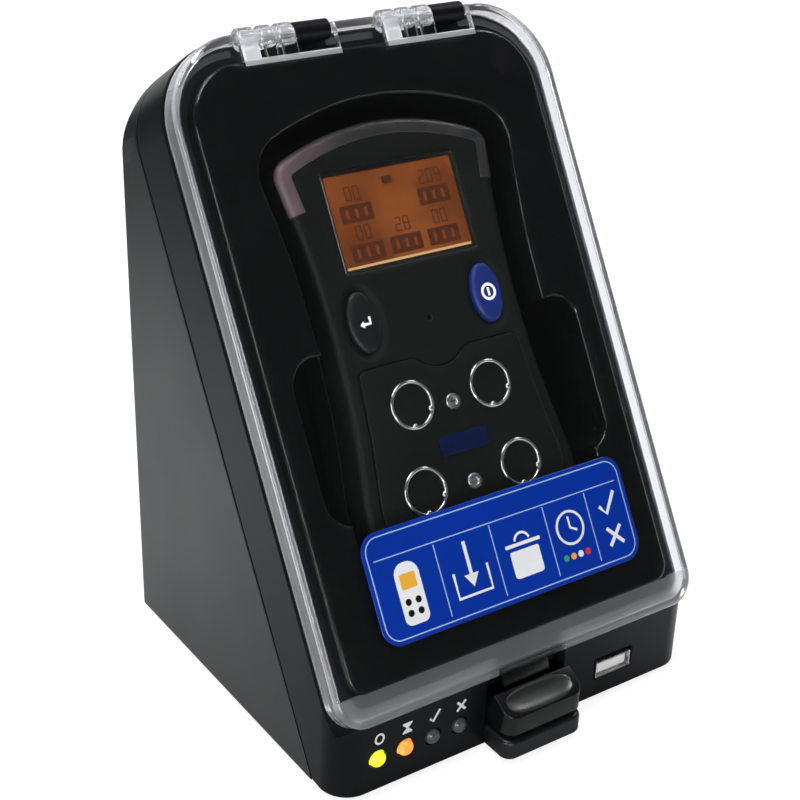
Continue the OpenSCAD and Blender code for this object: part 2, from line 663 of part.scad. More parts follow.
// The lid's outer form, drawn in by i: a hull of four turned corners with a rounded front edge
module lid_corner(r, i) {
    steps = 4;
    e = max(lid_edge_r - i, 0.4);
    w0 = i > 0 ? -past : lid_gap;
    curve = [for (k = [0:steps]) let (a = 90 * k / steps)
        [r - i - e * (1 - cos(a)), lid_t - i - e * (1 - sin(a))]];
    rotate_extrude($fn = 40) polygon(concat([[0, w0], [r - i, w0]], curve, [[0, lid_t - i]]));
}
module lid_form(i) hull() for (s = [-1, 1]) {
    translate([s * (lid_half - lid_low_r), lid_v0 + lid_low_r]) lid_corner(lid_low_r, i);
    translate([s * (lid_half - arch_r), lid_v1 - arch_r]) lid_corner(arch_r, i);
}
module lid() color([0.9, 0.94, 0.97, 0.3]) on_slope() difference() {
    union() {
        difference() {
            lid_form(0);
            lid_form(lid_wall);
            for (s = [-1, 1]) block(s * hinge_x - hinge_gap_w / 2, s * hinge_x + hinge_gap_w / 2,
                hinge_cut_v, face_l + past, -past, lid_t + past);
        }
        for (s = [-1, 1]) {
            u = lid_knuckle_u(s);
            rod_x(u, u + lid_knuckle_w, hinge_v, hinge_w, knuckle_r);
            block(u, u + lid_knuckle_w, hinge_cut_v - 3, hinge_v, lid_t - lid_wall, hinge_w + knuckle_r);
        }
        block(-hook_w / 2, hook_w / 2, lid_v0 - hook_l, lid_v0 + lid_wall, lid_gap + 0.1, lid_gap + 0.1 + hook_t);
    }
    for (s = [-1, 1]) rod_x(s * hinge_x - hinge_gap_w / 2 - past, s * hinge_x + hinge_gap_w / 2 + past,
        hinge_v, hinge_w, pin_r + pin_clear);
}
module lid_label() color("#0a3aa8") on_slope() translate([label_u, label_v0 + label_h / 2])
    slab(lid_t, lid_t + label_t) centred_2d(label_w, label_h, label_r);

// Latch
module latch_lever() color("#141415") station() difference() {
    intersection() {
        rotate([90, 0, 90]) translate([0, 0, -lever_half]) linear_extrude(2 * lever_half) polygon([
            [lever_front, lever_z], [lever_front, lever_z + lever_nose_h], [lever_peak_y, lever_peak_z],
            [lever_back_y, lever_peak_z - 0.4], [lever_back_y + 0.4, lever_z + lever_arm_h],
            [lever_arm_y, lever_z + lever_arm_h], [lever_arm_y, lever_z]]);
        linear_extrude(far) panel_2d(-lever_half, lever_half, lever_front, lever_arm_y, latch_r, 0);
    }
    rod_x(-half_w, half_w, pivot_y, pivot_z, latch_pin_r + pin_clear);
    translate([0, spring_y, lever_z - past]) cylinder(h = spring_cap + past, r = spring_r + 0.3);
}
module latch_tongue() color("#1d1d1f") station() difference() {
    linear_extrude(tongue_h) panel_2d(-bay_half, bay_half, -latch_reach, 0, latch_r, 0);
    translate([0, spring_y, tongue_h - spring_seat]) cylinder(h = spring_seat + past, r = spring_r + 0.3);
}
module latch_pin() color("silver") station()
    rod_x(-bay_half - bay_wall + 0.2, bay_half + bay_wall - 0.2, pivot_y, pivot_z, latch_pin_r);
module latch_spring() color("silver") station() translate([0, spring_y, tongue_h - spring_seat]) difference() {
    cylinder(h = spring_seat + latch_gap + spring_cap, r = spring_r);
    translate([0, 0, -past]) cylinder(h = far, r = spring_r - spring_wire);
}

// Nose fittings
module lamp(k) station() {
    x = k * lamp_pitch - lamp_x;
    rod_y(x, -lamp_proud, wall, lamp_z, lamp_r);
    rod_y(x, wall, wall + lamp_flange_t, lamp_z, lamp_flange_r);
    rod_y(x, wall + lamp_flange_t, lamp_back, lamp_z, lamp_r - 0.6);
}
module lamp_ready() color("#b9e81e") lamp(0);
module lamp_busy() color("#ff8a1c") lamp(1);
module lamp_pass() color("#2d2f33") lamp(2);
module lamp_fail() color("#2d2f33") lamp(3);
module lamp_board() color("#1d5a32") station() {
    block(-lamp_x - 1.2, 3 * lamp_pitch - lamp_x + 4, lamp_board_y, lamp_board_y + board_t,
        lamp_board_z0, lamp_board_z0 + lamp_board_h);
    for (k = [0:3]) rod_y(k * lamp_pitch - lamp_x, lamp_back, lamp_board_y, lamp_z, lamp_r - 0.9);
}
module usb_shell() color("silver") station() difference() {
    block(usb_x - usb_w / 2, usb_x + usb_w / 2, usb_front, usb_front + usb_d, usb_z - usb_h / 2, usb_z + usb_h / 2);
    block(usb_x - usb_w / 2 + usb_t, usb_x + usb_w / 2 - usb_t, usb_front - past, usb_front + usb_d - usb_t,
        usb_z - usb_h / 2 + usb_t, usb_z + usb_h / 2 - usb_t);
}
module usb_insulator() color("white") station()
    block(usb_x - 5.6, usb_x + 5.6, usb_front + 1, usb_front + usb_d - usb_t, usb_z + 0.3, usb_z + 2.1);
module usb_board() color("#1d5a32") station()
    block(usb_x - 10, usb_x + 10, wall + 0.6, usb_front + usb_d + 6, usb_board_z, usb_board_z + board_t);

// Boards
module main_board() color("#1d5a32") station() difference() {
    block(-board_x, board_x, board_y, board_y + board_t, board_z0, board_z1);
    for (x = [-1, 1] * (board_x - 6), z = [board_z0 + 6, board_z1 - 6])
        rod_y(x, board_y - past, board_y + board_t + past, z, screw_r + hole_clear);
}
module board_chips() color("#1a1a1a") station() for (c = [[-18, 62, 14, 14], [8, 58, 10, 7], [20, 80, 8, 8], [-2, 88, 18, 6]])
    block(c[0], c[0] + c[2], board_y - chip_h, board_y, c[1], c[1] + c[3]);
module board_screws() color("silver") station() for (x = [-1, 1] * (board_x - 6), z = [board_z0 + 6, board_z1 - 6]) {
    rod_y(x, board_y, board_y + board_t + 4, z, screw_r);
    rod_y(x, board_y - 1.6, board_y, z, head_r);
}

// Gas works
module pump_head() color("#3f4246") station() difference() {
    block(-exhaust_x - pump_w / 2, -exhaust_x + pump_w / 2, pump_y0, manifold_y1, base_t, base_t + pump_h);
    rod_y(-exhaust_x, manifold_y1 - 8, manifold_y1 + past, port_z, gas_bore_r);
    translate([-exhaust_x, manifold_y0 + 12, base_t + pump_h - 6]) cylinder(h = 6 + past, r = gas_bore_r);
}
module pump_motor() color("#9a9ca0") station() {
    rod_y(-exhaust_x, pump_y0 - motor_l, pump_y0, base_t + pump_h / 2, motor_r);
    rod_y(-exhaust_x, pump_y0 - motor_l - 2, pump_y0 - motor_l, base_t + pump_h / 2, motor_r / 2.6);
}
module valve_manifold() color("#a9acb0") station() difference() {
    block(manifold_x0, manifold_x1, manifold_y0, manifold_y1, base_t, base_t + pump_h);
    for (x = [inlet_x, air_x]) rod_y(x, manifold_y1 - 8, manifold_y1 + past, port_z, gas_bore_r);
    rod_y(supply_x, manifold_y0 - past, manifold_y0 + 8, port_z, gas_bore_r);
}
module solenoid_valves() color("#26282b") station() for (k = [0:2]) {
    x = manifold_x0 + (manifold_x1 - manifold_x0) * (k + 0.5) / 3;
    translate([x, (manifold_y0 + manifold_y1) / 2, base_t + pump_h]) linear_extrude(valve_h) centred_2d(valve_w, valve_w + 3, 2);
    translate([x, (manifold_y0 + manifold_y1) / 2, base_t + pump_h + valve_h]) cylinder(h = 3, r = 3);
}
// A fitting through the back wall: a collar outside, a nut inside and a hose barb behind the collar
module fitting(x, barb) station() difference() {
    union() {
        rod_y(x, body_d - wall - 5, body_d + 3, port_z, barb_r + 1);
        rod_y(x, body_d, body_d + 3, port_z, collar_r);
        rod_y(x, body_d - wall - 3, body_d - wall, port_z, collar_r);
        if (barb) {
            rod_y(x, body_d + 3, body_d + barb_l, port_z, barb_r);
        } else {
            rod_y(x, body_d + 3, body_d + 9, port_z, collar_r + 2);
        }
    }
    rod_y(x, body_d - wall - 5 - past, body_d + (barb ? barb_l + past : 6), port_z, gas_bore_r);
}
module gas_inlet() color("#b9a36a") fitting(inlet_x, true);
module air_inlet() color("#55585c") fitting(air_x, false);
module exhaust_outlet() color("#b9a36a") fitting(-exhaust_x, true);
module gas_tubes() color("#d8dadd") {
    station() for (x = [inlet_x, air_x, -exhaust_x]) rod_y(x, manifold_y1, body_d - wall - 5, port_z, tube_r);
    station() {
        start = [slope_at_y(nozzle_v, pocket_back - nozzle_l), slope_at_z(nozzle_v, pocket_back - nozzle_l)];
        out = [sin(slope), -cos(slope)];
        tube(supply_x, [start, start + 2 * out, start + 4.5 * out + [0, -0.6], start + [5.4, -6], start + [4.6, -10],
            [manifold_y0 - 6.5, port_z + 8], [manifold_y0 - 8, port_z + 4], [manifold_y0 - 6, port_z + 0.9],
            [manifold_y0 - 3, port_z], [manifold_y0, port_z]], tube_r);
        pump_top = [manifold_y0 + 12, base_t + pump_h];
        tube(-exhaust_x, [start, start + 3 * out, start + 8 * out, pump_top + [-5, 11], pump_top + [-1.6, 7],
            pump_top + [0, 3], pump_top], tube_r);
    }
}
module power_jack() color("#111111") station() difference() {
    union() {
        rod_y(jack_x, body_d - wall - past, body_d + 1, port_z, barb_r + 1);
        rod_y(jack_x, body_d, body_d + 1, port_z, barb_r + 2.4);
        block(jack_x - 5, jack_x + 5, body_d - wall - 12, body_d - wall, port_z - 5, port_z + 5);
    }
    rod_y(jack_x, body_d - wall - 9, body_d + 1 + past, port_z, jack_r);
}

// Screws
module case_screws() color("silver") station() for (s = [-1, 1], z = [screw_z0, screw_z1])
    translate([s * (half_w - screw_edge), 0, z]) {
        along_y(boss_end(z) - 10, boss_end(z) + well_floor, screw_r);
        along_y(boss_end(z) + well_floor, boss_end(z) + well_floor + 2, head_r);
    }
module base_screws() color("silver") station() for (s = [-1, 1], y = base_boss_y) translate([s * base_boss_x, y, 0]) {
    cylinder(h = 11, r = screw_r);
    cylinder(h = 1, r = head_r);
}
module cradle_screws() color("silver") on_slope() for (p = cradle_screw_places) {
    rod_w(p, face_in, panel_h - 1.4, screw_r);
    rod_w(p, face_in - 1.8, face_in, head_r);
}

// Detector
module detector_front_case() color("#191a1c") on_slope() difference() {
    slab(det_part, det_front) det_2d(0);
    slab(det_part - past, det_front - det_wall) det_2d(-det_side_t);
    slab(det_front - bar_t - hole_clear, det_front + past) bar_2d(hole_clear);
    translate([0, lcd_v]) slab(det_front - det_wall - past, det_front + past) square([lcd_w + 2.4, lcd_h + 2.4], center = true);
    for (s = [-1, 1]) translate([s * button_u, button_v])
        slab(det_front - det_wall - past, det_front + past) button_2d(button_clear);
    slab(det_front - cover_seat, det_front + past) cover_2d(hole_clear);
    for (p = sensor_places) rod_w(p, det_front - det_wall - past, det_front, ring_r - ring_w);
    for (v = cover_screw_v) rod_w([0, v], det_front - det_wall - past, det_front, screw_r);
    for (p = det_screw_places) rod_w(p, det_part - past, det_part + 5, det_screw_r + hole_clear);
    // Room for the buttons' flanges
    for (s = [-1, 1]) translate([s * button_u, button_v]) slab(mat_top - 0.3, det_front - det_wall) button_2d(1.3);
    rod_w([0, button_v - 3], det_front - det_wall - past, det_front + past, 0.7);
}
module detector_rear_case() color("#202123") on_slope() difference() {
    slab(det_back, det_part) det_2d(0);
    slab(det_back + det_wall, det_part + past) det_2d(-det_side_t);
    for (p = det_screw_places) {
        rod_w(p, det_back - past, det_part + past, det_screw_r + hole_clear);
        rod_w(p, det_back - past, det_back + 2, det_head_r + hole_clear);
    }
}
module detector_screws() color("silver") on_slope() for (p = det_screw_places) {
    rod_w(p, det_back + 2, det_part + 4, det_screw_r);
    rod_w(p, det_back + 0.4, det_back + 2, det_head_r);
}
module display_window() color([0.9, 0.6, 0.25, 0.4]) on_slope() translate([0, lcd_v])
    slab(det_front - 1.4, det_front - 0.2) square([lcd_w + 2.2, lcd_h + 2.2], center = true);
module lcd_panel() color("#e07c1c") on_slope() translate([0, lcd_v])
    slab(det_front - 4, det_front - 1.4) square([lcd_w + 2.2, lcd_h + 2.2], center = true);
module detector_button(s) on_slope() translate([s * button_u, button_v]) {
    slab(det_front - det_wall - 0.3, det_front + button_proud) button_2d(0);
    slab(det_front - det_wall - 1.3, det_front - det_wall - 0.3) button_2d(0.9);
}
module enter_button() color("#2a2c31") detector_button(-1);
module power_button() color("#1438a0") detector_button(1);
module keypad_mat() color("#3a3a3c") on_slope() translate([0, button_v])
    slab(mat_top - 1.2, mat_top) centred_2d(2 * button_u + 1.4 * button_a, 2 * button_b + 2, 3);
module sensor_cover() color("#1b1c1e") on_slope() difference() {
    slab(det_front - cover_seat, det_front + cover_proud) cover_2d(0);
    for (p = sensor_places) rod_w(p, det_front - cover_seat - past, det_front + cover_proud + past, ring_r - ring_w);
    for (p = sensor_places) rod_w(p, det_front, det_front + cover_proud + past, ring_r + hole_clear);
    for (v = cover_screw_v) {
        rod_w([0, v], det_front - cover_seat - past, det_front + cover_proud + past, screw_r);
        rod_w([0, v], det_front - 0.4, det_front + cover_proud + past, head_r - 0.4);
    }
}
module sensor_rings() color("silver") on_slope() for (p = sensor_places) difference() {
    rod_w(p, det_front, det_front + cover_proud + ring_proud, ring_r);
    rod_w(p, det_front - past, far, ring_r - ring_w);
}
module sensor_filters() color("#101011") on_slope() for (p = sensor_places)
    rod_w(p, sensor_top, det_front - 0.6, ring_r - ring_w - hole_clear);
module gas_sensors() color("#c8c9cc") on_slope() for (p = sensor_places)
    rod_w(p, board_top, sensor_top, sensor_r);
module cover_screws() color("silver") on_slope() for (v = cover_screw_v) {
    rod_w([0, v], det_front - det_wall, det_front - 0.4, screw_r - hole_clear);
    rod_w([0, v], det_front - 0.4, det_front + cover_proud, head_r - 0.4 - hole_clear);
}
module name_plate() color("#14245e") on_slope() translate([0, (cover_screw_v[0] + cover_screw_v[1]) / 2])
    slab(det_front + cover_proud, det_front + cover_proud + 0.3) centred_2d(plate_w, plate_h, 2);
module alarm_light_bar() color("#5b5c60") on_slope() slab(det_front - bar_t, det_front) bar_2d(0);
module detector_board() color("#1d5a32") on_slope() {
    slab(board_top - board_t, board_top)
        panel_2d(-det_board_w / 2, det_board_w / 2, det_v0 + 15, lcd_v + lcd_h / 2 - 2, 3, 3);
    // Stand-offs that carry the board on the rear case
    for (s = [-1, 1], v = [det_v0 + 20, det_v1 - 22])
        rod_w([s * 19, v], det_back + det_wall, board_top - board_t, 2.2);
    // Frame that carries the display
    translate([0, lcd_v]) slab(board_top, det_front - 4) difference() {
        square([lcd_w, lcd_h - 4], center = true);
        square([lcd_w - 4, lcd_h - 8], center = true);
    }
    // Post that carries the keypad mat
    translate([0, button_v]) slab(board_top, mat_top - 1.2) square([20, 8], center = true);
}
module battery_pack() color("#3d4f7a") on_slope() translate([0, (det_v0 + det_v1) / 2 + 2])
    slab(det_back + det_wall, board_top - board_t) centred_2d(32, 58, 4);
module sounder() color("#26282b") on_slope() rod_w([0, det_v0 + 12], board_top, det_front - det_wall, 5);
// Heights inside the detector, derived from its front
sensor_top = det_front - det_wall - 0.2;
board_top = det_front - 11;
mat_top = det_front - det_wall - 1.3 - button_travel - 0.2;

rear_shell();
front_shell();
base_plate();
rubber_feet();
dock_cradle();
dock_pads();
lid_seal();
hinge_pins();
latch_tongue();
latch_pin();
latch_spring();
lamp_ready();
lamp_busy();
lamp_pass();
lamp_fail();
lamp_board();
usb_shell();
usb_insulator();
usb_board();
lid_sensor();
contact_pins();
main_board();
board_chips();
pump_head();
pump_motor();
valve_manifold();
solenoid_valves();
gas_inlet();
air_inlet();
exhaust_outlet();
gas_tubes();
power_jack();
case_screws();
base_screws();
cradle_screws();
board_screws();
lid();
lid_label();
latch_lever();
detector_front_case();
detector_rear_case();
display_window();
lcd_panel();
enter_button();
power_button();
keypad_mat();
sensor_cover();
sensor_rings();
sensor_filters();
gas_sensors();
cover_screws();
name_plate();
alarm_light_bar();
detector_board();
battery_pack();
sounder();
detector_screws();
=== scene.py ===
"""Looks of a docking station that holds a gas detector under a clear lid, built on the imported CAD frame."""

import json
import math

import bmesh
import bpy
from mathutils import Matrix, Vector

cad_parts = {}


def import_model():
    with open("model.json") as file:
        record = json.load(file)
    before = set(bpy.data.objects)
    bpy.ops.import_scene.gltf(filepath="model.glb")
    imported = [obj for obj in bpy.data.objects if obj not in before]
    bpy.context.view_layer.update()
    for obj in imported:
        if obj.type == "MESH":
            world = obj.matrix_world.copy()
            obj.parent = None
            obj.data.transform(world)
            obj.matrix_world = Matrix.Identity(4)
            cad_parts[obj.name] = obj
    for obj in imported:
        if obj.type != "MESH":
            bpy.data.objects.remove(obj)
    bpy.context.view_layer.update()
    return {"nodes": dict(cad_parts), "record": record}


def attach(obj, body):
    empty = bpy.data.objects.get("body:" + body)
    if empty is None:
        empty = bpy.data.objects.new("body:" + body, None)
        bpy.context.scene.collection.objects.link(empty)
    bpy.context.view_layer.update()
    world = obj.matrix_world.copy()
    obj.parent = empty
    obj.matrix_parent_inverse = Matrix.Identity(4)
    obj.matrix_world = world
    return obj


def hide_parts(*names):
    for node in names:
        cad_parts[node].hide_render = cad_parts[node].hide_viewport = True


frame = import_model()
NODES = frame["nodes"]

# Frames, in millimetres apart from the studio, which is in metres
MM = 0.001
SLOPE_TILT = math.radians(59.1)
SLOPE_OUT = Vector((0.0, -math.sin(SLOPE_TILT), math.cos(SLOPE_TILT)))
# Station frame: y 0 at the nose's front, z 0 at the housing's underside
STATION = Matrix.Scale(MM, 4) @ Matrix.Translation((0, -59.05, 1.5))
# Slope frame: u across the sloping face, v up it, w out of it
ON_SLOPE = STATION @ Matrix.Translation((0, 3.2, 19.1)) @ Matrix.Rotation(SLOPE_TILT, 4, "X")
TO_STATION = STATION.inverted()
TO_SLOPE = ON_SLOPE.inverted()
# Front frame: x across the nose, y up it, z out of it
FACING_FRONT = STATION @ Matrix.Rotation(math.radians(90), 4, "X")

# Sizes, most of them as in the part's source. Housing and rear fittings
HALF_W = 62.0
BODY_D = 114.4
NOSE_R = 8.5
BACK_R = 3.0
ARCH_V = 184.5
ARCH_R = 23.0
FRONT_T = 17.8
PARTING_GAP = 0.55
FITTING_Z = 14.0
FITTING_X = {"gas_inlet": 6.0, "exhaust_outlet": -28.0, "air_inlet": 26.0, "power_jack": 47.0}
# Lid and hinges
LID = {"half": 61.75, "v0": 0.9, "v1": 184.25, "low_r": 9.0, "top_r": 23.0}
LID_RIM = 1.2
LID_T = 7.6
LID_WALL = 2.2
LID_EDGE_R = 1.8
LID_FOOT = 8.6
LID_FOOT_LOW = 5.2
CATCH_HALF = 11.3
CATCH_CLEAR = 0.3
HINGE_V = 183.0
HINGE_W = 3.8
HINGE_U = 22.5
HINGE_GAP = 30.0
HINGE_CUT_V = 176.5
KNUCKLE_R = 3.2
LID_KNUCKLE_W = 16.6
HINGE_END = 1.0
PIN_R = 1.55
# Fascia panel and pocket
PANEL_HALF = 55.5
PANEL_V0 = 8.5
PANEL_V1 = 177.0
PANEL_H = 4.6
PANEL_LOW_R = 6.0
PANEL_TOP_R = 16.5
PANEL_EDGE_R = 1.4
POCKET_CLEAR = 6.0
POCKET_FLOOR = -23.0
SCOOP = {"half": 47.5, "v0": 52.03, "v1": 96.97, "r": 8.0}
# Detector
DET_V0 = 36.0
DET_V1 = 156.5
DET_WAIST = 31.2
DET_WAIST_V = 101.25
DET_FLARE = 4.2
DET_FLARE_RUN = 46.25
DET_DROP = 6.5
DET_R = 5.5
DET_FRONT = 2.0
DET_PART = -9.0
DET_BACK = -22.0
BAR_W = 4.6
BAR_V0 = 133.0
LCD_V = 130.35
LCD_W = 42.0
LCD_H = 26.0
KEY_U = 20.8
KEY_V = 103.0
KEY_A = 4.9
KEY_B = 8.6
KEY_TOP = 2.8
BUZZER_V = 100.0
COVER_EDGE = 4.6
COVER_V1 = 90.3
COVER_DIP = 4.0
COVER_DIP_R = 11.0
RING_R = 6.9
SENSORS = ((-13.3, 78.0), (13.3, 78.0), (-16.3, 54.4), (16.3, 54.4))
COVER_SCREWS = ((0.0, 76.0), (0.0, 53.2))
PLATE = {"half": 8.25, "v": 64.6, "half_h": 2.7, "r": 0.9}
# Label, lamps, socket, catch and feet
LABEL = {"u": 1.3, "v": 33.5, "w": 89.0, "h": 30.6, "r": 5.5}
LAMPS = ("lamp_ready", "lamp_busy", "lamp_pass", "lamp_fail")
LAMP_X = [-49.3 + 8.87 * k for k in range(len(LAMPS))]
LAMP_Z = 10.2
LAMP_R = 2.65
USB_X = 32.7
USB_Z = 9.0
USB_HALF_W = 6.55
USB_HALF_H = 2.85
RECESS = {"left": 7.4, "right": 7.5, "below": 3.1, "above": 4.4, "r": 1.4}
TONGUE_HALF = 13.7
TONGUE_FRONT = -10.3
TONGUE_H = 6.1
LEVER_HALF = 13.3
FEET = [(x, y) for x in (-34.0, 34.0) for y in (22.35, 100.4)]
# Thickness of printed marks, distances within which points are welded, turn within which faces count as flat
INK_T = 0.02
WELD = 0.002
CAD_WELD = 0.004
FLAT_TURN = math.radians(0.6)


# Finishes

def make_group(name, inputs, outputs):
    """A shader node group with number inputs and the outputs named."""
    tree = bpy.data.node_groups.new(name, "ShaderNodeTree")
    for label, value in inputs.items():
        socket = tree.interface.new_socket(label, in_out="INPUT", socket_type="NodeSocketFloat")
        socket.default_value = value
    for label in outputs:
        tree.interface.new_socket(label, in_out="OUTPUT", socket_type="NodeSocketFloat")
    return tree, tree.nodes.new("NodeGroupInput"), tree.nodes.new("NodeGroupOutput")


def add(tree, kind, values=None, **settings):
    """A node with its settings and the values of its sockets. A value that is a socket is linked."""
    node = tree.nodes.new(kind)
    for key, value in settings.items():
        setattr(node, key, value)
    for key, value in (values or {}).items():
        if isinstance(value, bpy.types.NodeSocket):
            tree.links.new(value, node.inputs[key])
        else:
            node.inputs[key].default_value = value
    return node


def math_node(tree, operation, a, b):
    return add(tree, "ShaderNodeMath", {0: a, 1: b}, operation=operation).outputs[0]


def spread(tree, value, low, high, to_low, to_high):
    """A value carried from one span to another."""
    values = {"Value": value, "From Min": low, "From Max": high, "To Min": to_low, "To Max": to_high}
    return add(tree, "ShaderNodeMapRange", values).outputs["Result"]


def moulded_grain():
    """The spark-eroded grain of moulded plastic and slow changes in its tone."""
    tree, start, end = make_group("moulded_grain", {"Scale": 2200.0}, ("Height", "Tone"))
    place = add(tree, "ShaderNodeTexCoord").outputs["Object"]
    pits = add(tree, "ShaderNodeTexVoronoi", {"Vector": place, "Scale": start.outputs["Scale"]})
    finer = math_node(tree, "MULTIPLY", start.outputs["Scale"], 1.7)
    speck = add(tree, "ShaderNodeTexNoise", {"Vector": place, "Scale": finer, "Detail": 3.0})
    height = math_node(tree, "ADD", pits.outputs["Distance"], speck.outputs["Fac"])
    tree.links.new(height, end.inputs["Height"])
    wide = math_node(tree, "MULTIPLY", start.outputs["Scale"], 0.012)
    cloud = add(tree, "ShaderNodeTexNoise", {"Vector": place, "Scale": wide, "Detail": 4.0, "Roughness": 0.6})
    tree.links.new(spread(tree, cloud.outputs["Fac"], 0.3, 0.7, 0.0, 1.0), end.inputs["Tone"])
    return tree


def hand_haze():
    """Faint smears and hairline scratches on a polished surface."""
    tree, start, end = make_group("hand_haze", {"Scale": 60.0}, ("Haze", "Scratch"))
    place = add(tree, "ShaderNodeTexCoord").outputs["Object"]
    smear = add(tree, "ShaderNodeTexNoise", {"Vector": place, "Scale": start.outputs["Scale"], "Detail": 5.0,
                                             "Roughness": 0.65, "Distortion": 1.2})
    tree.links.new(spread(tree, smear.outputs["Fac"], 0.42, 0.75, 0.0, 1.0), end.inputs["Haze"])
    turned = add(tree, "ShaderNodeMapping", {"Vector": place, "Rotation": (0.6, 0.3, 0.7),
                                             "Scale": (14.0, 900.0, 900.0)})
    hair = add(tree, "ShaderNodeTexNoise", {"Vector": turned.outputs["Vector"], "Scale": 1.0, "Detail": 2.0})
    tree.links.new(spread(tree, hair.outputs["Fac"], 0.66, 0.74, 0.0, 1.0), end.inputs["Scratch"])
    return tree


def settled_dust():
    """A thin veil of dust on what faces up."""
    tree, start, end = make_group("settled_dust", {"Amount": 0.1}, ("Dust",))
    up = add(tree, "ShaderNodeSeparateXYZ", {0: add(tree, "ShaderNodeNewGeometry").outputs["Normal"]})
    place = add(tree, "ShaderNodeTexCoord").outputs["Object"]
    fleck = add(tree, "ShaderNodeTexNoise", {"Vector": place, "Scale": 420.0, "Detail": 6.0,
                                             "Roughness": 0.7})
    lies = spread(tree, up.outputs["Z"], 0.25, 1.0, 0.0, 1.0)
    veil = math_node(tree, "MULTIPLY", lies, spread(tree, fleck.outputs["Fac"], 0.35, 0.75, 0.0, 1.0))
    tree.links.new(math_node(tree, "MULTIPLY", veil, start.outputs["Amount"]), end.inputs["Dust"])
    return tree


def drawn_lines():
    """The fine lines that drawing or turning leaves on metal."""
    tree, start, end = make_group("drawn_lines", {"Scale": 3000.0}, ("Lines",))
    place = add(tree, "ShaderNodeTexCoord").outputs["Object"]
    stretched = add(tree, "ShaderNodeMapping", {"Vector": place, "Scale": (0.03, 1.0, 0.6)})
    noise = add(tree, "ShaderNodeTexNoise", {"Vector": stretched.outputs["Vector"],
                                             "Scale": start.outputs["Scale"], "Detail": 4.0})
    tree.links.new(noise.outputs["Fac"], end.inputs["Lines"])
    return tree


DUST_COLOUR = (0.34, 0.33, 0.31, 1.0)
GRAIN = moulded_grain()
HAZE = hand_haze()
DUST = settled_dust()
LINES = drawn_lines()


def new_finish(name):
    """An empty material, its nodes and its shader."""
    material = bpy.data.materials.new(name)
    material.use_nodes = True
    tree = material.node_tree
    tree.nodes.clear()
    output = tree.nodes.new("ShaderNodeOutputMaterial")
    shader = tree.nodes.new("ShaderNodeBsdfPrincipled")
    tree.links.new(shader.outputs["BSDF"], output.inputs["Surface"])
    return material, tree, shader


def use(tree, group, **values):
    """The outputs of a node group put into a material."""
    node = tree.nodes.new("ShaderNodeGroup")
    node.node_tree = group
    for key, value in values.items():
        node.inputs[key].default_value = value
    return node.outputs


def mix_colour(tree, share, first, second):
    values = {"Factor": share, 6: first, 7: second}
    return add(tree, "ShaderNodeMix", values, data_type="RGBA").outputs[2]


def shade(colour, factor):
    """A colour made darker or lighter."""
    return tuple(min(1.0, c * factor) for c in colour[:3]) + (1.0,)


def bump(tree, height, strength, depth_mm):
    values = {"Height": height, "Strength": strength, "Distance": depth_mm * MM}
    return add(tree, "ShaderNodeBump", values).outputs["Normal"]


def dusted(tree, base, amount):
    """A colour under an amount of dust."""
    if not amount:
        return base
    return mix_colour(tree, use(tree, DUST, Amount=amount)["Dust"], base, DUST_COLOUR)


def feed(tree, shader, colour, rough, normal):
    """Links what changes over the surface to the shader."""
    for socket, value in (("Base Color", colour), ("Roughness", rough), ("Normal", normal)):
        if value:
            tree.links.new(value, shader.inputs[socket])


def moulded(name, colour, roughness, grain=2200.0, depth=0.35, tone=0.12, dust=0.0, shine=0.5,
            gloss=(1.0, 1.0, 1.0)):
    """Textured plastic, rubber or board. Its gloss may be a little coloured."""
    material, tree, shader = new_finish(name)
    surface = use(tree, GRAIN, Scale=grain)
    base = mix_colour(tree, surface["Tone"], shade(colour, 1 - tone), shade(colour, 1 + tone))
    rough = spread(tree, surface["Tone"], 0.0, 1.0, roughness - 0.05, roughness + 0.05)
    feed(tree, shader, dusted(tree, base, dust), rough, bump(tree, surface["Height"], depth, 0.06))
    shader.inputs["Specular IOR Level"].default_value = shine
    shader.inputs["Specular Tint"].default_value = (*gloss, 1.0)
    return material


def polished(name, colour, roughness, haze=0.10, dust=0.0, coat=0.0, shine=0.5):
    """Glossy plastic with faint smears."""
    material, tree, shader = new_finish(name)
    film = use(tree, HAZE)
    base = mix_colour(tree, film["Haze"], shade(colour, 0.94), shade(colour, 1.10))
    rough = spread(tree, film["Haze"], 0.0, 1.0, roughness, roughness + haze)
    feed(tree, shader, dusted(tree, base, dust), rough, bump(tree, film["Scratch"], 0.08, 0.01))
    shader.inputs["Coat Weight"].default_value = coat
    shader.inputs["Specular IOR Level"].default_value = shine
    return material


def metal(name, colour, roughness, lines=3000.0, depth=0.10):
    """Drawn or turned metal."""
    material, tree, shader = new_finish(name)
    drawn = use(tree, LINES, Scale=lines)["Lines"]
    base = mix_colour(tree, drawn, shade(colour, 0.88), shade(colour, 1.08))
    rough = spread(tree, drawn, 0.3, 0.7, roughness * 0.7, roughness * 1.4)
    feed(tree, shader, base, rough, bump(tree, drawn, depth, 0.02))
    shader.inputs["Metallic"].default_value = 1.0
    return material


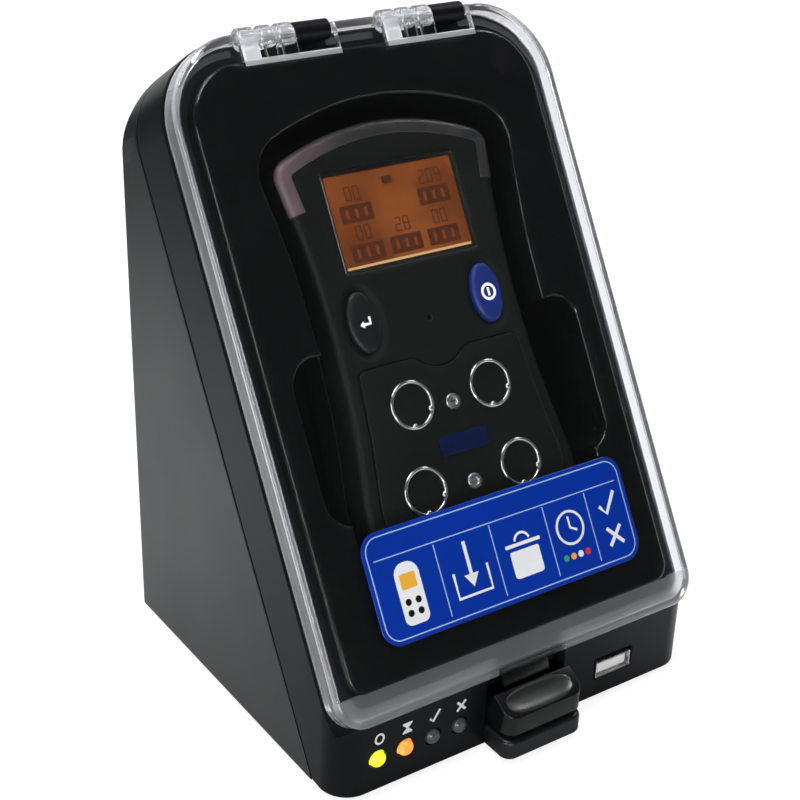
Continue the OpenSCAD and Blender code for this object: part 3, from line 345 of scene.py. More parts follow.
def clear(name, colour, index, haze, clearness=1.0, roughness=0.012):
    """Clear plastic that lamps shine through, milky where it is less clear. On the lid's walls and foot that
    milky white is painted highlight and painted reflection.
    """
    material, tree, shader = new_finish(name)
    film = use(tree, HAZE, Scale=45.0)
    base = mix_colour(tree, film["Haze"], colour, shade(colour, 0.985))
    rough = spread(tree, film["Haze"], 0.0, 1.0, roughness, roughness + haze)
    feed(tree, shader, base, rough, bump(tree, film["Scratch"], 0.03, 0.01))
    shader.inputs["Transmission Weight"].default_value = clearness
    shader.inputs["IOR"].default_value = index
    output = next(n for n in tree.nodes if n.type == "OUTPUT_MATERIAL")
    through = add(tree, "ShaderNodeBsdfTransparent", {"Color": (0.93, 0.94, 0.95, 1.0)})
    light = add(tree, "ShaderNodeLightPath")
    join = add(tree, "ShaderNodeMixShader", {0: light.outputs["Is Shadow Ray"]})
    tree.links.new(shader.outputs["BSDF"], join.inputs[1])
    tree.links.new(through.outputs["BSDF"], join.inputs[2])
    tree.links.new(join.outputs["Shader"], output.inputs["Surface"])
    return material


def glowing(name, low, high, strength, roughness, cloud=120.0):
    """A lens or display lit from behind, a little unevenly."""
    material, tree, shader = new_finish(name)
    place = add(tree, "ShaderNodeTexCoord").outputs["Object"]
    patch = add(tree, "ShaderNodeTexNoise", {"Vector": place, "Scale": cloud, "Detail": 1.0})
    colour = mix_colour(tree, spread(tree, patch.outputs["Fac"], 0.35, 0.65, 0.0, 1.0), low, high)
    rough = spread(tree, use(tree, HAZE)["Haze"], 0.0, 1.0, roughness, roughness + 0.1)
    feed(tree, shader, colour, rough, None)
    tree.links.new(colour, shader.inputs["Emission Color"])
    shader.inputs["Emission Strength"].default_value = strength
    return material


def smoky(name, dark, pale):
    """Smoked lens plastic that turns paler and pinkish towards its left end, a painted highlight."""
    material, tree, shader = new_finish(name)
    place = add(tree, "ShaderNodeTexCoord").outputs["Object"]
    across = add(tree, "ShaderNodeSeparateXYZ", {0: place}).outputs["X"]
    film = use(tree, HAZE, Scale=160.0)
    # The share of the pale colour: a painted pinkish highlight at the left end, plus a little haze.
    share = math_node(tree, "ADD", spread(tree, across, -0.035, -0.012, 0.95, 0.0),
                      math_node(tree, "MULTIPLY", film["Haze"], 0.18))
    rough = spread(tree, film["Haze"], 0.0, 1.0, 0.34, 0.46)
    feed(tree, shader, mix_colour(tree, share, dark, pale), rough, bump(tree, film["Scratch"], 0.06, 0.01))
    return material


def printed(name, colour, roughness=0.32):
    """Screen ink on film or plastic."""
    material, tree, shader = new_finish(name)
    ink = use(tree, GRAIN, Scale=5200.0)
    base = mix_colour(tree, ink["Tone"], shade(colour, 0.93), shade(colour, 1.05))
    feed(tree, shader, base, None, bump(tree, ink["Height"], 0.05, 0.02))
    shader.inputs["Roughness"].default_value = roughness
    return material


COOL = (0.84, 0.97, 1.0)
FINISH = {
    "housing_plastic": moulded("charcoal_shell", (0.0060, 0.0072, 0.0076), 0.34, 1900.0, 0.09, dust=0.02,
                               shine=0.43, gloss=COOL),
    "front_plastic": moulded("black_shell", (0.0042, 0.0052, 0.0062), 0.34, 1900.0, 0.09, dust=0.02,
                             shine=0.15, gloss=COOL),
    "base_plastic": moulded("base_plastic", (0.010, 0.010, 0.011), 0.5, 1500.0, 0.4),
    "black_rubber": moulded("foot_rubber", (0.008, 0.008, 0.008), 0.75, 1200.0, 0.5),
    "seal_rubber": moulded("seal_rubber", (0.012, 0.012, 0.013), 0.65, 1600.0, 0.4),
    "cradle_plastic": polished("fascia_gloss", (0.0022, 0.0024, 0.0024), 0.13, shine=0.38),
    "steel": metal("screw_steel", (0.55, 0.56, 0.58), 0.30),
    "spring_steel": metal("spring_steel", (0.45, 0.46, 0.48), 0.35),
    "lamp_green": glowing("lamp_green_lit", (0.62, 0.75, 0.02, 1), (0.95, 0.86, 0.05, 1), 1.1, 0.18, 500.0),
    "lamp_orange": glowing("lamp_orange_lit", (0.80, 0.24, 0.03, 1), (0.86, 0.38, 0.10, 1), 0.95, 0.18,
                           500.0),
    "lamp_dark": polished("lamp_unlit", (0.055, 0.060, 0.066), 0.15, 0.08, coat=0.4),
    "circuit_board": moulded("circuit_board", (0.010, 0.075, 0.028), 0.42, 900.0, 0.2),
    "socket_steel": metal("socket_plate", (0.90, 0.90, 0.91), 0.24, 2600.0, 0.05),
    "socket_insulator": moulded("socket_insulator", (0.95, 0.945, 0.93), 0.45, 1800.0, 0.08, 0.03),
    "sensor_black": polished("lid_sensor_window", (0.004, 0.004, 0.005), 0.10),
    "contact_gold": metal("contact_gold", (0.83, 0.60, 0.20), 0.22),
    "chip_black": moulded("chip_black", (0.010, 0.010, 0.011), 0.55, 1500.0, 0.3),
    "pump_plastic": moulded("pump_plastic", (0.05, 0.052, 0.056), 0.5),
    "motor_steel": metal("motor_can", (0.50, 0.51, 0.53), 0.34),
    "manifold_alloy": metal("manifold_alloy", (0.62, 0.63, 0.65), 0.36, 1800.0),
    "valve_plastic": moulded("valve_plastic", (0.016, 0.017, 0.019), 0.5),
    "fitting_brass": metal("fitting_brass", (0.66, 0.47, 0.18), 0.26),
    "filter_plastic": moulded("filter_cap", (0.07, 0.072, 0.078), 0.5),
    "clear_tube": polished("clear_hose", (0.62, 0.64, 0.65), 0.2),
    "jack_plastic": polished("jack_plastic", (0.006, 0.006, 0.006), 0.25),
    "clear_lid": clear("clear_lid", (0.985, 0.988, 0.99, 1.0), 1.49, 0.05),
    "label_film": printed("label_blue", (0.0006, 0.031, 0.33), 0.30),
    "lever_plastic": polished("lever_gloss", (0.0032, 0.0038, 0.0042), 0.20, shine=0.40),
    "case_black": moulded("detector_case", (0.0026, 0.0034, 0.0028), 0.50, 1700.0, 0.10, shine=0.14),
    "window_clear": clear("display_window", (0.97, 0.92, 0.84, 1.0), 1.45, 0.03),
    "lcd_orange": glowing("lcd_backlight", (0.095, 0.023, 0.0035, 1), (0.155, 0.044, 0.0065, 1), 0.30, 0.3,
                          70.0),
    "button_dark": polished("enter_key", (0.0028, 0.0032, 0.0036), 0.42, 0.08, shine=0.28),
    "button_blue": polished("power_key", (0.002, 0.014, 0.112), 0.38, 0.08, shine=0.35),
    "mat_rubber": moulded("keypad_mat", (0.02, 0.02, 0.022), 0.65),
    "ring_chrome": metal("ring_bright", (0.80, 0.81, 0.82), 0.14, 2400.0, 0.04),
    "filter_black": moulded("sensor_membrane", (0.006, 0.006, 0.007), 0.7, 2600.0, 0.6),
    "sensor_can": metal("sensor_can", (0.68, 0.69, 0.70), 0.28),
    "plate_blue": polished("plate_blue", (0.0004, 0.0055, 0.032), 0.30, 0.05, shine=0.18),
    # The light bar's pale pinkish left end is a painted highlight.
    "light_bar": smoky("light_bar", (0.010, 0.011, 0.0115, 1), (0.085, 0.055, 0.061, 1)),
    "battery_wrap": polished("battery_wrap", (0.02, 0.04, 0.13), 0.3),
}
# The lid's wall finishes, from clear to milky: their milky white is a painted highlight on the rounded
# corners and the knuckles.
LID_WALLS_PAINTED_HIGHLIGHT = [clear("lid_wall_painted_highlight_" + str(number), (0.88, 0.885, 0.92, 1.0), 1.49, 0.12, clearness, 0.05)
             for number, clearness in enumerate((0.945, 0.91, 0.86, 0.80, 0.72, 0.63, 0.54))]
# The bands at the lid's foot: their grey is a painted reflection, and their roughness is haze.
LID_BANDS_PAINTED_REFLECTION = [clear("lid_band_painted_reflection_" + str(number), (0.80, 0.81, 0.84, 1.0), 1.49, 0.10, clearness, 0.28)
             for number, clearness in enumerate((0.92, 0.96))]
# A rougher, shinier copy of the lever's gloss for the thumb dish. Its lighter colour is a painted sheen.
LEVER_DISH_PAINTED_SHEEN = polished("lever_dish_painted_sheen", (0.012, 0.0125, 0.013), 0.34, 0.06, shine=0.9)
WHITE_INK = printed("white_ink", (0.80, 0.82, 0.84))
PALE_INK = printed("pale_ink", (0.34, 0.48, 0.74))
AMBER_INK = printed("amber_ink", (0.85, 0.42, 0.05))
GREEN_INK = printed("green_ink", (0.03, 0.34, 0.12))
RED_INK = printed("red_ink", (0.70, 0.035, 0.03))
DARK_INK = printed("dark_ink", (0.004, 0.004, 0.0045))
LCD_MARK = printed("lcd_mark", (0.060, 0.014, 0.006))
LCD_FAINT = printed("lcd_faint", (0.16, 0.038, 0.008))
LCD_EDGE = printed("lcd_edge", (0.55, 0.36, 0.18))

slot_of = {row["node"]: row["material_slot"] for row in frame["record"]["subparts"]}
for node_name, node_object in NODES.items():
    node_object.data.materials.clear()
    node_object.data.materials.append(FINISH[slot_of[node_name]])
    node_object.data.shade_smooth()
    node_object.data.set_sharp_from_angle(angle=math.radians(32))


# Mesh making

def even_normals(bm, sharp, broad=700.0):
    """Corner normals that keep broad flat faces flat and shade the roundings between them smoothly."""
    same_plane = 0.99995
    bm.normal_update()
    plane = {}
    area = []
    for face in bm.faces:
        if face in plane:
            continue
        plane[face] = len(area)
        found = [face]
        for here in found:
            for other in {f for edge in here.edges for f in edge.link_faces} - plane.keys():
                if other.normal.dot(face.normal) > same_plane:
                    plane[other] = len(area)
                    found.append(other)
        area.append(sum(f.calc_area() for f in found))
    limit = math.cos(math.radians(sharp))
    normals = []
    for face in bm.faces:
        for loop in face.loops:
            near = [f for f in loop.vert.link_faces if f == face or f.normal.dot(face.normal) > limit]
            widest = max(near, key=lambda f: area[plane[f]])
            if area[plane[face]] > broad:
                normals.append(face.normal.copy())
            elif area[plane[widest]] > broad:
                normals.append(widest.normal.copy())
            else:
                normals.append(sum((f.normal * f.calc_area() for f in near), Vector()).normalized())
    return normals


def outward(bm):
    """The mesh with its faces turned outward."""
    bmesh.ops.recalc_face_normals(bm, faces=bm.faces)
    return bm


def finished(name, bm, place, body, slot=None, stands_for=(), sharp=32.0, finish=None, even=False):
    """Turns a mesh in millimetres into a piece that rides on its body and may stand for CAD nodes."""
    bmesh.ops.remove_doubles(bm, verts=bm.verts, dist=WELD)
    if any(edge.is_boundary for edge in bm.edges):
        bmesh.ops.solidify(bm, geom=bm.faces[:], thickness=INK_T)
    outward(bm)
    normals = even_normals(bm, sharp) if even else None
    mesh = bpy.data.meshes.new(name)
    bm.to_mesh(mesh)
    bm.free()
    mesh.transform(place)
    mesh.materials.append(finish if finish else FINISH[slot])
    mesh.shade_smooth()
    if normals:
        turn = place.to_3x3()
        mesh.normals_split_custom_set([(turn @ n).normalized() for n in normals])
    else:
        mesh.set_sharp_from_angle(angle=math.radians(sharp))
    piece = bpy.data.objects.new(name, mesh)
    bpy.context.scene.collection.objects.link(piece)
    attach(piece, body)
    if stands_for:
        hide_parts(*stands_for)
    return piece


def loft(bm, rings, close_first=True, close_last=True):
    """Skins closed rings of equally many points."""
    made = [[bm.verts.new(point) for point in ring] for ring in rings]
    for low, high in zip(made, made[1:]):
        for i in range(len(low)):
            j = (i + 1) % len(low)
            bm.faces.new((low[i], low[j], high[j], high[i]))
    if close_first:
        bm.faces.new(made[0][::-1])
    if close_last:
        bm.faces.new(made[-1])
    return made


def skin(bm, outline, profile, close_first=True, close_last=True):
    """Skins an outline along a profile of (inset, height) pairs."""
    rings = [[(x, y, h) for x, y in outline(inset)] for inset, h in profile]
    return loft(bm, rings, close_first, close_last)


def pit(bm, outline, profile):
    """Skins a closed hollow and gives its mouth, to be filled round."""
    return skin(bm, outline, profile, False, True)[0]


def loop_edges(bm, ring):
    """The edges of a closed ring of vertices."""
    pairs = zip(ring, ring[1:] + ring[:1])
    return [bm.edges.get(pair) or bm.edges.new(pair) for pair in pairs]


def fill_between(bm, *rings):
    """Fills the flat face between an outer ring and the holes in it."""
    edges = [edge for ring in rings for edge in loop_edges(bm, ring)]
    bmesh.ops.triangle_fill(bm, use_beauty=True, use_dissolve=False, edges=edges)


def arc(x, y, radius, start, sweep, steps):
    turn = [math.radians(start + sweep * k / steps) for k in range(steps + 1)]
    return [(x + radius * math.cos(a), y + radius * math.sin(a)) for a in turn]


def rounded(x0, x1, y0, y1, r_low, r_high, steps=10):
    """A function of an inset that gives a rectangle with rounded lower and upper corners."""
    def outline(inset):
        low = max(r_low, inset + 0.02)
        high = max(r_high, inset + 0.02)
        return (arc(x1 - low, y0 + low, low - inset, -90, 90, steps)
                + arc(x1 - high, y1 - high, high - inset, 0, 90, steps)
                + arc(x0 + high, y1 - high, high - inset, 90, 90, steps)
                + arc(x0 + low, y0 + low, low - inset, 180, 90, steps))
    return outline


def oval(x, y, a, b, steps=56):
    def outline(inset):
        turn = [2 * math.pi * k / steps for k in range(steps)]
        return [(x + (a - inset) * math.cos(t), y + (b - inset) * math.sin(t)) for t in turn]
    return outline


def drawn_in(points):
    """A function of an inset for any closed outline, moving each point along its normal."""
    count = len(points)
    normals = []
    for i in range(count):
        ahead = Vector(points[(i + 1) % count]) - Vector(points[i - 1])
        normals.append(Vector((-ahead.y, ahead.x)).normalized())

    def outline(inset):
        return [(p[0] + n.x * inset, p[1] + n.y * inset) for p, n in zip(points, normals)]
    return outline


def round_over(inset, height, radius, steps=5, down=False):
    """Profile points that turn from a wall into a flat face over a rounded edge."""
    turn = [math.radians(90 * k / steps) for k in range(steps + 1)]
    points = [(inset + radius * (1 - math.cos(a)), height - radius * (1 - math.sin(a))) for a in turn]
    return points[::-1] if down else points


def turned(bm, profile, place, steps=40):
    """Turns a profile of (radius, height) pairs about the axis of a placing matrix."""
    turn = [2 * math.pi * k / steps for k in range(steps)]
    rings = []
    for radius, height in profile:
        reach = max(radius, 0.001)
        rings.append([place @ Vector((reach * math.cos(a), reach * math.sin(a), height)) for a in turn])
    loft(bm, rings)


def ribbon(bm, points, width, height, closed=False):
    """A flat printed line along points, width wide, lying at a height."""
    count = len(points)
    sides = []
    for i in range(count):
        before = Vector(points[i - 1]) if closed or i else Vector(points[0])
        after = Vector(points[(i + 1) % count]) if closed or i < count - 1 else Vector(points[-1])
        run = (after - before).normalized()
        off = Vector((-run.y, run.x)) * width / 2
        here = Vector(points[i])
        sides.append((bm.verts.new((*(here + off), height)), bm.verts.new((*(here - off), height))))
    for i in range(count if closed else count - 1):
        a, b = sides[i], sides[(i + 1) % count]
        bm.faces.new((a[0], a[1], b[1], b[0]))


def patch(bm, points, height):
    """A flat printed patch."""
    bm.faces.new([bm.verts.new((x, y, height)) for x, y in points])


def disc(bm, x, y, radius, height, steps=24):
    patch(bm, arc(x, y, radius, 0, 360 - 360 / steps, steps - 1), height)


def cross(bm, x, y, half_w, half_h, width, height):
    """Two printed strokes, one just above the other."""
    ribbon(bm, [(x - half_w, y - half_h), (x + half_w, y + half_h)], width, height)
    ribbon(bm, [(x - half_w, y + half_h), (x + half_w, y - half_h)], width, height + 0.01)


def block(low, high, bm=None):
    """A plain box between two corners, in a mesh of its own if none is given."""
    if bm is None:
        bm = bmesh.new()
    size = [b - a for a, b in zip(low, high)]
    middle = [(a + b) / 2 for a, b in zip(low, high)]
    bmesh.ops.create_cube(bm, size=1.0, matrix=Matrix.Translation(middle) @ Matrix.Diagonal((*size, 1.0)))
    return bm


def round_edges(bm, width, segments, angle=35.0, test=None):
    """Rounds the sharp edges that pass a test."""
    chosen = [edge for edge in bm.edges
              if len(edge.link_faces) == 2 and edge.calc_face_angle(0.0) > math.radians(angle)
              and (test is None or test(edge))]
    bmesh.ops.bevel(bm, geom=chosen, offset=width, segments=segments, profile=0.5, affect="EDGES",
                    clamp_overlap=False)


def from_mesh(mesh, place):
    """A working copy of a mesh, welded and with its flat faces joined, in the frame of a placing matrix."""
    bm = bmesh.new()
    bm.from_mesh(mesh)
    bmesh.ops.transform(bm, matrix=place.inverted(), verts=bm.verts)
    bmesh.ops.remove_doubles(bm, verts=bm.verts, dist=CAD_WELD)
    bmesh.ops.dissolve_limit(bm, angle_limit=FLAT_TURN, verts=bm.verts, edges=bm.edges)
    return bm


def split_wide(bm):
    """Cuts the faces of many corners into triangles."""
    bmesh.ops.triangulate(bm, faces=[f for f in bm.faces if len(f.verts) > 4])


def combined(bm, others, operation):
    """The mesh joined with or cut by other meshes."""
    def temporary(source):
        mesh = bpy.data.meshes.new("shaping")
        source.to_mesh(mesh)
        source.free()
        piece = bpy.data.objects.new("shaping", mesh)
        bpy.context.scene.collection.objects.link(piece)
        return piece
    main = temporary(bm)
    tools = [temporary(other) for other in others]
    for tool in tools:
        step = main.modifiers.new("shape", "BOOLEAN")
        step.solver = "EXACT"
        step.operation = operation
        step.object = tool
    shaped = main.evaluated_get(bpy.context.evaluated_depsgraph_get())
    result = bmesh.new()
    result.from_mesh(shaped.to_mesh())
    shaped.to_mesh_clear()
    for piece in [main, *tools]:
        mesh = piece.data
        bpy.data.objects.remove(piece)
        bpy.data.meshes.remove(mesh)
    return result


# Housing. The two reaches say how near a point lies to a face or to the outer skin to count as on it.

FACE_REACH = 0.04
SKIN_REACH = 0.06
FAR_BELOW = -200.0
NOSE_TOP = 15.5
CATCH_GAP_HALF = 14.5


def inside_by(x, y, low, high, r_low, r_high):
    """How far a point lies inside a rectangle of the housing's width with rounded corners."""
    x = abs(x)
    for radius, depth in ((r_low, low + r_low - y), (r_high, y - high + r_high)):
        if depth > 0 and x > HALF_W - radius:
            return radius - math.hypot(x - HALF_W + radius, depth)
    return min(HALF_W - x, y - low, high - y)


def is_shell_edge(point):
    """True for a point in the station frame on an edge of the housing's outer skin that is rounded."""
    u, v, w = TO_SLOPE @ STATION @ point
    on_arch = inside_by(u, v, FAR_BELOW, ARCH_V, 1.0, ARCH_R) < SKIN_REACH
    on_foot = inside_by(point.x, point.y, 0.0, BODY_D, NOSE_R, BACK_R) < SKIN_REACH
    parting = abs(abs(w + FRONT_T) - PARTING_GAP) < FACE_REACH and on_arch
    face = abs(w) < FACE_REACH and on_arch
    bottom = point.z < FACE_REACH and on_foot
    nose = point.y < FACE_REACH and (point.z > NOSE_TOP or abs(point.x) < CATCH_GAP_HALF)
    return parting or face or bottom or nose


def usb_recess():
    """The form of the recess round the socket, to be cut out of the nose."""
    bm = bmesh.new()
    outline = rounded(USB_X - RECESS["left"], USB_X + RECESS["right"],
                      USB_Z - RECESS["below"], USB_Z + RECESS["above"], RECESS["r"], RECESS["r"], 5)
    depths = ((0.35, -1.1), (0.35, -0.3), (0.0, 0.05), (0.0, 1.0))
    loft(bm, [[(x, -out, z) for x, z in outline(inset)] for inset, out in depths])
    return outward(bm)


def softened_shell(node, name, width):
    """A shell with rounded edges and a wider parting line. The front one has the socket's recess."""
    bm = from_mesh(NODES[node].data, STATION)
    for vert in bm.verts:
        w = (TO_SLOPE @ STATION @ vert.co).z
        if abs(w + FRONT_T) < FACE_REACH:
            vert.co += PARTING_GAP * (SLOPE_OUT if node == "front_shell" else -SLOPE_OUT)
    round_edges(bm, width, 3, 30.0, lambda e: e.is_convex and all(is_shell_edge(v.co) for v in e.verts))
    split_wide(bm)
    if node == "front_shell":
        bm = combined(bm, [usb_recess()], "DIFFERENCE")
    finished(name, bm, STATION, "station", slot_of[node], (node,), 34.0, even=True)


SHELL_EDGE = 0.25
softened_shell("rear_shell", "rear_housing", SHELL_EDGE)
softened_shell("front_shell", "front_housing", SHELL_EDGE)


def parting_shade_strip():
    """A dark strip just inside the line where the two shells meet, painted shade that keeps the gap between
    them dark.
    """
    bm = bmesh.new()
    foot = -10.9
    lap = 0.2
    w0 = -FRONT_T - PARTING_GAP - lap
    w1 = -FRONT_T + PARTING_GAP + lap

    def line(inset):
        reach = HALF_W - inset
        return ([(reach, foot)] + arc(HALF_W - ARCH_R, ARCH_V - ARCH_R, ARCH_R - inset, 0, 90, 14)
                + arc(ARCH_R - HALF_W, ARCH_V - ARCH_R, ARCH_R - inset, 90, 90, 14) + [(-reach, foot)])

    rings = [[(*a, w0), (*a, w1), (*b, w1), (*b, w0)] for a, b in zip(line(1.0), line(2.0))]
    loft(bm, rings)
    finished("parting_shade_strip", bm, ON_SLOPE, "station", "seal_rubber")


parting_shade_strip()


# Rear fittings and feet

def rear_place(node):
    """A frame at a fitting's place on the back, with z out of it."""
    spot = Matrix.Translation((FITTING_X[node], BODY_D, FITTING_Z))
    return STATION @ spot @ Matrix.Rotation(-math.pi / 2, 4, "X")


def hose_barb(node, name):
    """A brass hose barb with a hexagon collar."""
    bm = bmesh.new()
    here = Matrix.Identity(4)
    turned(bm, [(4.7, 0.02), (5.5, 0.45), (5.5, 2.55), (4.8, 3.0), (0.0, 3.0)], here, 6)
    profile = [(3.3, -7.0), (3.3, 0.1), (1.9, 2.9), (1.85, 4.9)]
    for start in (5.0, 7.8, 10.6):
        profile += [(2.5, start), (2.44, start + 0.4), (1.9, start + 2.5), (1.85, start + 2.7)]
    profile[-1] = (1.7, 13.75)
    profile += [(1.45, 14.0), (1.2, 13.8), (1.2, 5.0), (0.0, 5.0)]
    turned(bm, profile, here, 32)
    finished(name, bm, rear_place(node), "station", slot_of[node], (node,), 30.0)


def air_filter():
    """A ribbed filter cap with a ring of slots."""
    bm = bmesh.new()
    steps = 144
    ribs = 36
    rib_depth = 0.28
    slots = 10
    slot = rounded(1.9, 4.7, -0.42, 0.42, 0.4, 0.4, 4)

    def ribbed(inset):
        ring = []
        for k in range(steps):
            t = 2 * math.pi * k / steps
            radius = 7.5 - inset - (rib_depth * (0.5 - 0.5 * math.cos(ribs * t)) if inset < 1.0 else 0.0)
            ring.append((radius * math.cos(t), radius * math.sin(t)))
        return ring

    def placed(turn):
        return lambda inset: [tuple(turn @ Vector(point)) for point in slot(inset)]

    profile = [(2.2, 2.9), (0.5, 3.0), (0.0, 3.5), (0.0, 8.3), (0.5, 8.85), (1.1, 9.0), (1.7, 9.0)]
    profile += [(2.0, 8.5)]
    cap = skin(bm, ribbed, profile, True, False)
    turns = [Matrix.Rotation(2 * math.pi * k / slots, 2) for k in range(slots)]
    holes = [pit(bm, placed(turn), [(0.0, 8.5), (0.0, 7.4)]) for turn in turns]
    fill_between(bm, cap[-1], *holes)
    turned(bm, [(3.3, -7.0), (3.3, 0.0), (5.5, 0.02), (5.5, 2.9), (3.0, 3.2)], Matrix.Identity(4), 36)
    place = rear_place("air_inlet")
    finished("air_filter_cap", bm, place, "station", slot_of["air_inlet"], ("air_inlet",), 30.0)


def dc_jack():
    """The power jack with a rounded rim, and the pin in it."""
    bm = from_mesh(NODES["power_jack"].data, STATION)
    round_edges(bm, 0.22, 3, 50.0, lambda e: all(v.co.y > BODY_D + 0.5 for v in e.verts))
    split_wide(bm)
    finished("dc_jack", bm, STATION, "station", slot_of["power_jack"], ("power_jack",), 30.0)
    pin = bmesh.new()
    profile = [(0.0, -8.6), (0.95, -8.6), (0.95, -1.6), (0.8, -1.2), (0.45, -0.95), (0.0, -0.9)]
    turned(pin, profile, Matrix.Identity(4), 24)
    finished("dc_jack_pin", pin, rear_place("power_jack"), "station", "steel")


def feet():
    """Rubber feet with rounded rims and a ring groove."""
    bm = bmesh.new()
    profile = [(0.0, 0.75), (5.6, 0.75), (6.0, 0.4), (6.0, -0.9), (5.85, -1.25), (5.4, -1.5)]
    profile += [(3.9, -1.5), (3.6, -1.15), (2.7, -1.15), (2.4, -1.5), (0.0, -1.5)]
    for x, y in FEET:
        turned(bm, profile, Matrix.Translation((x, y, 0.0)), 40)
    finished("foot_pads", bm, STATION, "station", "black_rubber", ("rubber_feet",), 30.0)


def socket_screws(node, name, places, length, head_h):
    """Screws with a hexagon socket. Each place has its origin under the head and z out of it."""
    bm = bmesh.new()
    for place in places:
        one = bmesh.new()
        profile = [(1.9, -length), (1.3, -length + 0.6), (1.3, 0.0), (0.05, 0.0), (0.0, 0.15)]
        profile += round_over(0.0, head_h, 0.3, 3)
        head = skin(one, oval(0.0, 0.0, 2.8, 2.8, 36), profile, True, False)
        socket = pit(one, oval(0.0, 0.0, 1.45, 1.45, 6), [(0.0, head_h), (0.05, head_h - 0.7)])
        fill_between(one, head[-1], socket)
        bmesh.ops.transform(one, matrix=place, verts=one.verts)
        mesh = bpy.data.meshes.new("shaping")
        one.to_mesh(mesh)
        one.free()
        bm.from_mesh(mesh)
        bpy.data.meshes.remove(mesh)
    finished(name, bm, STATION, "station", slot_of[node], (node,), 30.0)


hose_barb("gas_inlet", "gas_inlet_barb")
hose_barb("exhaust_outlet", "exhaust_barb")
air_filter()
dc_jack()
feet()
CASE_SCREWS = [Matrix.Translation((x, y, z)) @ Matrix.Rotation(-math.pi / 2, 4, "X")
               for x in (-54.4, 54.4) for y, z in ((38.47, 30.0), (97.12, 128.0))]
BASE_SCREWS = [Matrix.Translation((x, y, 1.0)) @ Matrix.Rotation(math.pi, 4, "X")
               for x in (-50.0, 50.0) for y in (30.0, 92.0)]
socket_screws("case_screws", "case_screw_set", CASE_SCREWS, 13.0, 2.0)
socket_screws("base_screws", "base_screw_set", BASE_SCREWS, 10.0, 1.0)


# Fascia with the detector's pocket

def side(v):
    """Half width of the detector at a height."""
    return DET_WAIST + DET_FLARE * min(1.0, ((v - DET_WAIST_V) / DET_FLARE_RUN) ** 2)


def crown(u):
    """Height of the detector's arched top."""
    return DET_V1 - DET_DROP * (u / DET_WAIST) ** 2


def detector_points():
    """The detector's outline from its lower right corner, up, over the arched top and down the left side."""
    def corner_centre(v):
        slope = (side(v + 0.01) - side(v - 0.01)) / 0.02
        normal = Vector((1.0, -slope)).normalized()
        return Vector((side(v), v)) - DET_R * normal

    top = [Vector((k * 0.05, crown(k * 0.05))) for k in range(740)]
    low, high = 120.0, 150.0
    for _ in range(40):
        mid = (low + high) / 2
        centre = corner_centre(mid)
        if min((p - centre).length for p in top) > DET_R:
            low = mid
        else:
            high = mid
    centre = corner_centre(low)
    touch = min(top, key=lambda p: (p - centre).length)
    begin = math.degrees(math.atan2(low - centre.y, side(low) - centre.x))
    finish = math.degrees(math.atan2(touch.y - centre.y, touch.x - centre.x))
    base = DET_V0 + DET_R
    heights = [base + (low - base) * k / 44 for k in range(1, 44)]
    reaches = [touch.x * (1 - k / 22) for k in range(1, 22)]
    right = arc(side(base) - DET_R, base, DET_R, -90, 90, 8)
    right += [(side(v), v) for v in heights]
    right += arc(centre.x, centre.y, DET_R, begin, finish - begin, 9)
    right += [(u, crown(u)) for u in reaches]
    return right + [(0.0, DET_V1)] + [(-u, v) for u, v in reversed(right)]


detector_outline = drawn_in(detector_points())


def pocket_points():
    """The pocket's mouth, the detector's outline set out and widened by the finger scoops."""
    wide = detector_outline(-POCKET_CLEAR)
    right = [p for p in wide[:len(wide) // 2] if p[0] > 0]
    radius = SCOOP["r"]
    drops = [radius * (1 - math.cos(k * 0.13)) for k in range(13)]
    heights = sorted({round(v, 3) for _, v in right if v > DET_V0 + DET_R}
                     | {round(SCOOP["v0"] + drop, 3) for drop in drops}
                     | {round(SCOOP["v1"] - drop, 3) for drop in drops})
    below_scoop = 46.0
    above_scoop = 110.0
    no_reach = 30.0
    easing = 4.0

    def reach(v):
        past = max(SCOOP["v0"] + radius - v, v - SCOOP["v1"] + radius, 0.0)
        if past >= radius:
            return no_reach
        return SCOOP["half"] - radius + math.sqrt(radius ** 2 - past ** 2)

    def eased(v, u):
        return (u + reach(v) + math.sqrt((u - reach(v)) ** 2 + easing)) / 2

    points = [p for p in right if p[1] <= below_scoop]
    points += [(eased(v, side(v) + POCKET_CLEAR), v) for v in heights if below_scoop < v < above_scoop]
    points += [p for p in right if p[1] >= above_scoop]
    return points + [(0.0, DET_V1 + POCKET_CLEAR)] + [(-u, v) for u, v in reversed(points)]


pocket_outline = drawn_in(pocket_points())
panel_outline = rounded(-PANEL_HALF, PANEL_HALF, PANEL_V0, PANEL_V1, PANEL_LOW_R, PANEL_TOP_R)


def fascia():
    """The glossy panel and the pocket in it that holds the detector."""
    bm = bmesh.new()
    rim = skin(bm, panel_outline, [(0, 0)] + round_over(0, PANEL_H, PANEL_EDGE_R, 6), False, False)
    mouth = [(-inset, w) for inset, w in round_over(0, PANEL_H, PANEL_EDGE_R, 5, True)]
    foot_r = 4
    wall = [(0.0, -16.0)]
    wall += [(1.0 * k, POCKET_FLOOR + foot_r * (1 - math.sin(math.acos(1 - k / foot_r))))
             for k in range(foot_r + 1)]
    inner = pit(bm, pocket_outline, mouth + wall)
    outer = pit(bm, pocket_outline, [(-2.6, 0.0), (-2.6, -22.0), (0.0, -25.0)])
    fill_between(bm, rim[-1], inner)
    fill_between(bm, rim[0], outer)
    finished("fascia_panel", bm, ON_SLOPE, "station", "cradle_plastic", ("dock_cradle",), 28.0)


fascia()


# Clear lid

